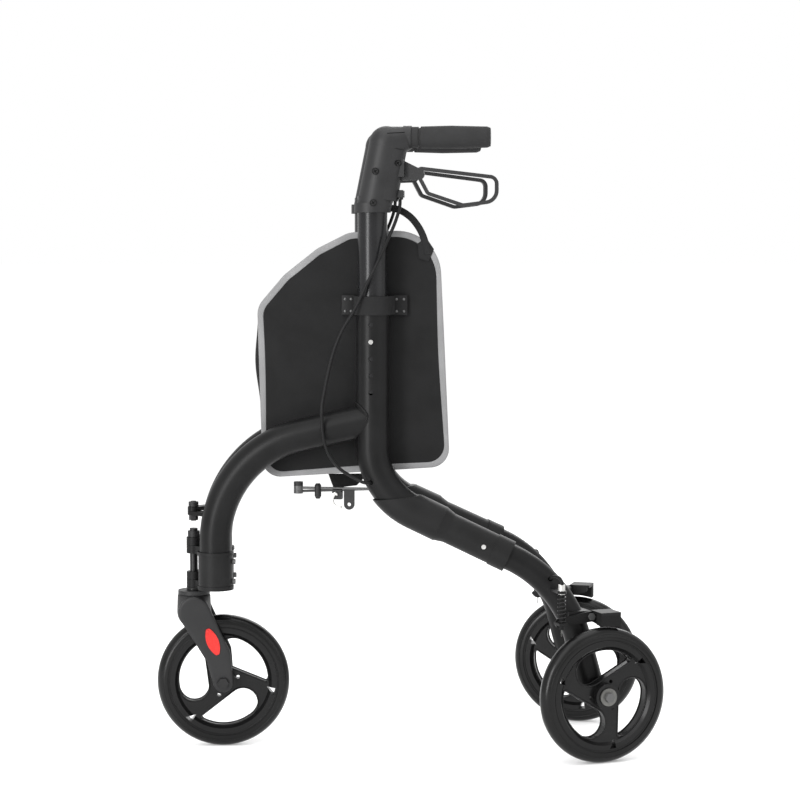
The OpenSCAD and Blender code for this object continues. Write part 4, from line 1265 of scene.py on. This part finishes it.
@dataclass
class WindowLips:
    """Rolled lips round the windows of a wheel, on both faces of its spokes.

    Attributes:
        name: the wheel's name.
        node: its rim's CAD node, whose edges the lips follow.
        body: the body that it turns with.
        place: maps ahead, out and up from the wheel's middle to the world.
        face_out: distance of the spokes' faces from the middle plane, in millimetres.
        half: half the lip's thickness.
        least: length of the shortest edge that gets a lip.
        uneven: least spread of an edge's distances from the axle, which a round hub doesn't have.
        bend: least angle between the faces beside an edge, in degrees.
    """

    name: str
    node: str
    body: str
    place: Callable[[float, float, float], Vector]
    face_out: float = 8.0
    half: float = 1.3
    least: float = 90.0
    uneven: float = 5.0
    bend: float = 50.0

    def build(self) -> List[bpy.types.Object]:
        """Builds a lip along each window's edge.

        Returns:
            The pieces.
        """
        pieces = []
        for i, path in enumerate(self._edges()):
            mesh = tube_mesh("window_lip", path, self.half * MM, 8)
            pieces.append(new_object(f"{self.name}_window_lip_{i}", mesh, WHEEL))
        return ride_all(pieces, self.body)

    def _edges(self) -> List[List[Vector]]:
        """Finds the windows' edges on the rim.

        Returns:
            One path for each edge.
        """
        close, same = 5e-5, 1e-6
        middle = self.place(0, 0, 0)
        axle = (self.place(0, 1, 0) - middle).normalized()
        work = bmesh.new()
        work.from_mesh(frame["nodes"][self.node].data)
        bmesh.ops.remove_doubles(work, verts=work.verts, dist=same)
        work.verts.index_update()
        joined: Dict[int, List[int]] = {}
        for edge in work.edges:
            flush = all(abs(abs((v.co - middle).dot(axle)) - self.face_out * MM) < close for v in edge.verts)
            if flush and len(edge.link_faces) == 2 and edge.calc_face_angle() > math.radians(self.bend):
                a, b = (v.index for v in edge.verts)
                joined.setdefault(a, []).append(b)
                joined.setdefault(b, []).append(a)
        places = {v.index: v.co.copy() for v in work.verts if v.index in joined}
        work.free()
        paths = [[places[i] for i in chain] for chain in self._chains(joined)]
        return [p for p in paths if self._is_window(p, middle, axle)]

    @staticmethod
    def _chains(joined: Dict[int, List[int]]) -> List[List[int]]:
        """Walks along joined points.

        Args:
            joined: each point's neighbours.

        Returns:
            Rows of points, each closed where it comes back to its start.
        """
        left = set(joined)
        rows: List[List[int]] = []
        for start in sorted(joined, key=lambda i: (len(joined[i]) == 2, i)):
            if start not in left:
                continue
            row = [start]
            left.discard(start)
            while True:
                ahead = [n for n in joined[row[-1]] if n in left]
                if not ahead:
                    break
                row.append(ahead[0])
                left.discard(ahead[0])
            if len(row) > 2 and start in joined[row[-1]]:
                row.append(start)
            rows.append(row)
        return rows

    def _is_window(self, path: Sequence[Vector], middle: Vector, axle: Vector) -> bool:
        """Tells a window's edge from the small holes and the round hub."""
        radii = [((p - middle) - axle * (p - middle).dot(axle)).length for p in path]
        return length_of(path) > self.least * MM and max(radii) - min(radii) > self.uneven * MM


@dataclass
class ForkSkin:
    """The caster fork as it is cast, with rounded edges and a bulb that flows into its legs.

    Attributes:
        grid: spacing of the surface's points, in millimetres.
        passes: how often the surface is evened out.
    """

    grid: float = 1.5
    passes: int = 14

    def build(self) -> List[bpy.types.Object]:
        """Builds the skin over the fork's CAD node.

        Returns:
            The piece.
        """
        rough = new_object("fork_rough", frame["nodes"]["fork"].data.copy(), PLASTIC)
        cells = rough.modifiers.new("cells", "REMESH")
        cells.mode = "VOXEL"
        cells.voxel_size = self.grid * MM
        even = rough.modifiers.new("even", "SMOOTH")
        even.factor = 0.5
        even.iterations = self.passes
        seen = rough.evaluated_get(bpy.context.evaluated_depsgraph_get())
        mesh = bpy.data.meshes.new_from_object(seen)
        bpy.data.objects.remove(rough)
        skin = new_object("fork_skin", mesh, PLASTIC)
        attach(skin, "caster")
        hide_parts("fork")
        return [skin]


@dataclass
class ElbowTrim:
    """Painted shade in the cross recesses of a handle's screws, round their heads and in the short groove
    along its elbow.

    Attributes:
        side: the side.
        screws: places of the screws and the lever pin, as back and height in millimetres.
        head_r: radius of their heads.
        arm: half length of a cross's arms.
        turns: directions of the two arms, in degrees.
        stand: how far the lines stand off the heads.
        groove: start and end of the groove.
        halves: half the width of a cross's arm, a shadow ring and the groove.
        flat: the lines' thickness as a share of their width.
    """

    side: Side
    screws: Tuple[Point2, ...] = ((282.0, 866.0), (279.0, 820.0), (314.0, 878.0))
    head_r: float = 4.5
    arm: float = 2.9
    turns: Point2 = (35.0, 125.0)
    stand: float = 0.05
    groove: Tuple[Point2, Point2] = ((299.0, 921.0), (324.0, 922.5))
    halves: Point3 = (0.55, 0.4, 0.8)
    flat: float = 0.35

    def build(self) -> List[bpy.types.Object]:
        """Builds the painted shade of the crosses, the shadow rings round the heads and the groove.

        Returns:
            The pieces.
        """
        pieces = []
        cross_half, ring_half, groove_half = self.halves
        around, along = 32, 12
        for i, (back, up) in enumerate(self.screws):
            face = self._surface("handle_fittings", back, up) + self.stand
            for j, turn in enumerate(math.radians(deg) for deg in self.turns):
                steps = [self.arm * k for k in (-1.0, -0.5, 0.0, 0.5, 1.0)]
                path = [LAYOUT.on_side(self.side, back + math.cos(turn) * s, face, up + math.sin(turn) * s)
                        for s in steps]
                # Painted shade: dark bars laid where the cross recess falls into shadow.
                pieces.append(self._line(f"screw_cross_{i}_{j}", path, cross_half))
            path = []
            for a in (2 * math.pi * k / around for k in range(around + 1)):
                round_back, round_up = self.head_r * math.cos(a), self.head_r * math.sin(a)
                path.append(LAYOUT.on_side(self.side, back + round_back, face, up + round_up))
            # Painted shadow: a dark ring round the screw head.
            pieces.append(self._line(f"screw_edge_{i}", path, ring_half))
        (b0, z0), (b1, z1) = self.groove
        path = []
        for k in range(along + 1):
            back, up = b0 + (b1 - b0) * k / along, z0 + (z1 - z0) * k / along
            path.append(LAYOUT.on_side(self.side, back, self._surface("elbow_outer", back, up), up))
        # Painted shade: a dark line along the elbow's groove.
        pieces.append(self._line("elbow_groove_shade", path, groove_half))
        return ride_all(pieces, self.side.body("handle"))

    def _line(self, name: str, path: Sequence[Vector], half: float) -> bpy.types.Object:
        """A thin line of painted shade along a path on a surface, of a half width in millimetres."""
        mesh = tube_mesh(name, path, half * MM, 8, self.flat, LAYOUT.across(self.side))
        return new_object(self.side.body(name), mesh, RECESS_SHADE)

    def _surface(self, node: str, back: float, up: float) -> float:
        """How far out a node's outer surface lies.

        Args:
            node: the CAD node's name without its side.
            back: millimetres back along the frame.
            up: height in millimetres.

        Returns:
            Millimetres out from the hinge pin, across the frame.
        """
        mesh = frame["nodes"][self.side.body(node)].data
        tree = BVHTree.FromPolygons([v.co for v in mesh.vertices], [list(p.vertices) for p in mesh.polygons])
        far = 120.0
        start, pin = LAYOUT.on_side(self.side, back, far, up), LAYOUT.on_side(self.side, back, 0, up)
        place, _, _, gap = tree.ray_cast(start, (pin - start).normalized())
        return far - gap / MM if place is not None else far / 2


@dataclass
class BraceLever:
    """Small plated lever that hangs from the block on the left brace arm.

    Attributes:
        pin: the brace arm's pin, as X and Y in millimetres.
        way: direction of the arm, as X and Y.
        spine: the lever's middle line, as distance along the arm, height and half width.
        near: distance of its inner face from the arm's middle.
        thick: its thickness.
    """

    pin: Point2 = (23.5, 38.3)
    way: Point2 = (0.977, -0.2134)
    spine: Tuple[Point3, ...] = (
        (82, 387, 2.2), (86, 384.5, 2.6), (88.5, 380, 2.8), (89, 374.5, 2.8), (87, 369.5, 2.7),
        (83, 366, 2.6), (78, 364.8, 2.4), (73.5, 365.4, 2.0))
    near: float = 7.0
    thick: float = 2.2

    def build(self) -> List[bpy.types.Object]:
        """Builds the lever and its rivet.

        Returns:
            The pieces.
        """
        edges: List[List[Point2]] = [[], []]
        for i, (s, z, half) in enumerate(self.spine):
            a, b = self.spine[max(i - 1, 0)], self.spine[min(i + 1, len(self.spine) - 1)]
            run = math.dist(a[:2], b[:2])
            side_s, side_z = -(b[1] - a[1]) / run * half, (b[0] - a[0]) / run * half
            edges[0].append((s + side_s, z + side_z))
            edges[1].append((s - side_s, z - side_z))
        outline = edges[0] + edges[1][::-1]
        n = len(outline)
        points = [self._at(s, t, z) for t in (self.near, self.near + self.thick) for s, z in outline]
        faces = [[base + k, base + k + 1, base + n - 2 - k, base + n - 1 - k]
                 for base in (0, n) for k in range(len(self.spine) - 1)]
        faces += ring_faces(2, n)
        lever = soften(new_object("brace_lever", mesh_from("brace_lever", points, faces), STEEL), 0.0005, 2)
        top_s, top_z, _ = self.spine[0]
        drop = 2
        face = self.near + self.thick
        profile = [(2.6, face - 0.4), (2.5, face + 0.8), (1.6, face + 1.5), (0.4, face + 1.7)]
        mesh = lathe_mesh("brace_rivet", profile,
                          lambda a, b, h: self._at(top_s + a, h, top_z - drop + b), 20)
        rivet = new_object("brace_rivet", mesh, STEEL)
        return ride_all([lever, rivet], "left_brace")

    def _at(self, along: float, out: float, up: float) -> Vector:
        """Place in metres of a point given along and out from the brace arm, and in height."""
        (x, y), (way_x, way_y) = self.pin, self.way
        return Vector((x + along * way_x - out * way_y, y + along * way_y + out * way_x, up)) * MM


@dataclass
class Studio:
    """Floor, lights, world and camera.

    Attributes:
        focal_px: the photograph's focal length in pixels.
        frame_px: the photograph's width in pixels.
        eye: the camera's place, in metres.
        yaw: turn of the view towards the rear, in degrees.
        pitch: tilt of the view down, in degrees.
        floor_half: half the floor's width, in metres.
        aim: where the lights point, in metres.
        lights: name, place, width, height and power of each light.
    """

    focal_px: float = 2300.0
    frame_px: float = 800.0
    eye: Point3 = (0.1887, 3.466, 0.7604)
    yaw: float = 2.98
    pitch: float = 3.89
    floor_half: float = 80.0
    aim: Point3 = (0.0, 0.0, 0.45)
    lights: Tuple[Tuple[str, Point3, float, float, float], ...] = (
        ("key", (1.2, 2.2, 2.6), 2.2, 2.2, 34.0), ("fill", (-2.0, 1.6, 1.4), 2.0, 2.0, 12.0),
        ("top", (0.0, 0.2, 3.0), 2.4, 2.4, 36.0), ("rim", (-0.6, -2.2, 1.8), 1.8, 1.8, 30.0),
        ("strip", (1.9, 2.2, 0.9), 0.7, 1.8, 56.0))

    def build(self) -> None:
        """Sets the whole stage."""
        self._floor()
        self._lights()
        self._camera()
        scene = bpy.context.scene
        scene.view_settings.view_transform = "Standard"
        world = bpy.data.worlds.new("studio")
        scene.world = world
        world.use_nodes = True
        back = world.node_tree.nodes["Background"]
        back.inputs["Color"].default_value = (1.0, 1.0, 1.0, 1.0)
        back.inputs["Strength"].default_value = 1.0

    def _floor(self) -> None:
        """Lays a pale floor."""
        r = self.floor_half
        corners = [Vector((x * r, y * r, 0)) for x, y in ((-1, -1), (1, -1), (1, 1), (-1, 1))]
        mesh = mesh_from("floor", corners, [[0, 1, 2, 3]])
        new_object("floor", mesh, FLOOR, smooth=False)

    def _lights(self) -> None:
        """Hangs soft lights above, in front and behind."""
        for name, place, size, tall, power in self.lights:
            data = bpy.data.lights.new(name, "AREA")
            data.shape = "RECTANGLE"
            data.size = size
            data.size_y = tall
            data.energy = power
            lamp = bpy.data.objects.new(name, data)
            bpy.context.scene.collection.objects.link(lamp)
            lamp.location = place
            lamp.rotation_mode = "QUATERNION"
            lamp.rotation_quaternion = (Vector(self.aim) - Vector(place)).to_track_quat("-Z", "Y")

    def _camera(self) -> None:
        """Stands the camera where the photograph was taken."""
        data = bpy.data.cameras.new("camera")
        data.sensor_width = 36.0
        data.lens = self.focal_px / self.frame_px * data.sensor_width
        data.clip_start, data.clip_end = 0.1, 200.0
        cam = bpy.data.objects.new("camera", data)
        bpy.context.scene.collection.objects.link(cam)
        cam.location = self.eye
        yaw, pitch = math.radians(self.yaw), math.radians(self.pitch)
        look = Vector((-math.sin(yaw) * math.cos(pitch), -math.cos(yaw) * math.cos(pitch), -math.sin(pitch)))
        cam.rotation_mode = "QUATERNION"
        cam.rotation_quaternion = look.to_track_quat("-Z", "Y")
        bpy.context.scene.camera = cam


def smooth_cad() -> None:
    """Shades the CAD nodes smooth where their faces nearly agree."""
    for obj in frame["nodes"].values():
        for face in obj.data.polygons:
            face.use_smooth = True
        obj.data.set_sharp_from_angle(angle=math.radians(SHARP_DEG))


def main() -> None:
    """Dresses the CAD nodes, sets the stage and builds the drawn pieces in order."""
    logging.basicConfig(level=logging.INFO, format="%(name)s: %(message)s")
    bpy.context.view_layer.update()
    smooth_cad()
    CadDress().dress()
    Studio().build()
    made: List[bpy.types.Object] = []
    for side in Side:
        made += BrakeLine(side).build()
    for side in Side:
        for part in (BagPanel(side), BagStrap(side), WeldBead(side)):
            made += part.build()
    made += BagGusset(BagPanel(Side.LEFT)).build()
    made += CarryStrap().build()
    made += BagFoot().build()
    made += BraceLever().build()
    made += ForkSkin().build()
    wheels = [(side.value, lambda a, b, h, s=side: LAYOUT.at_wheel(s, a, b, h)) for side in Side]
    for name, place in wheels + [("front", LAYOUT.at_front_wheel)]:
        made += WheelRings(name, f"{name}_wheel", place).build()
        made += WindowLips(name, f"{name}_rim", f"{name}_wheel", place).build()
    for side in Side:
        made += ElbowTrim(side).build()
    for obj in made:
        LOG.info("made %s", obj.name)


if __name__ == "__main__":
    main()
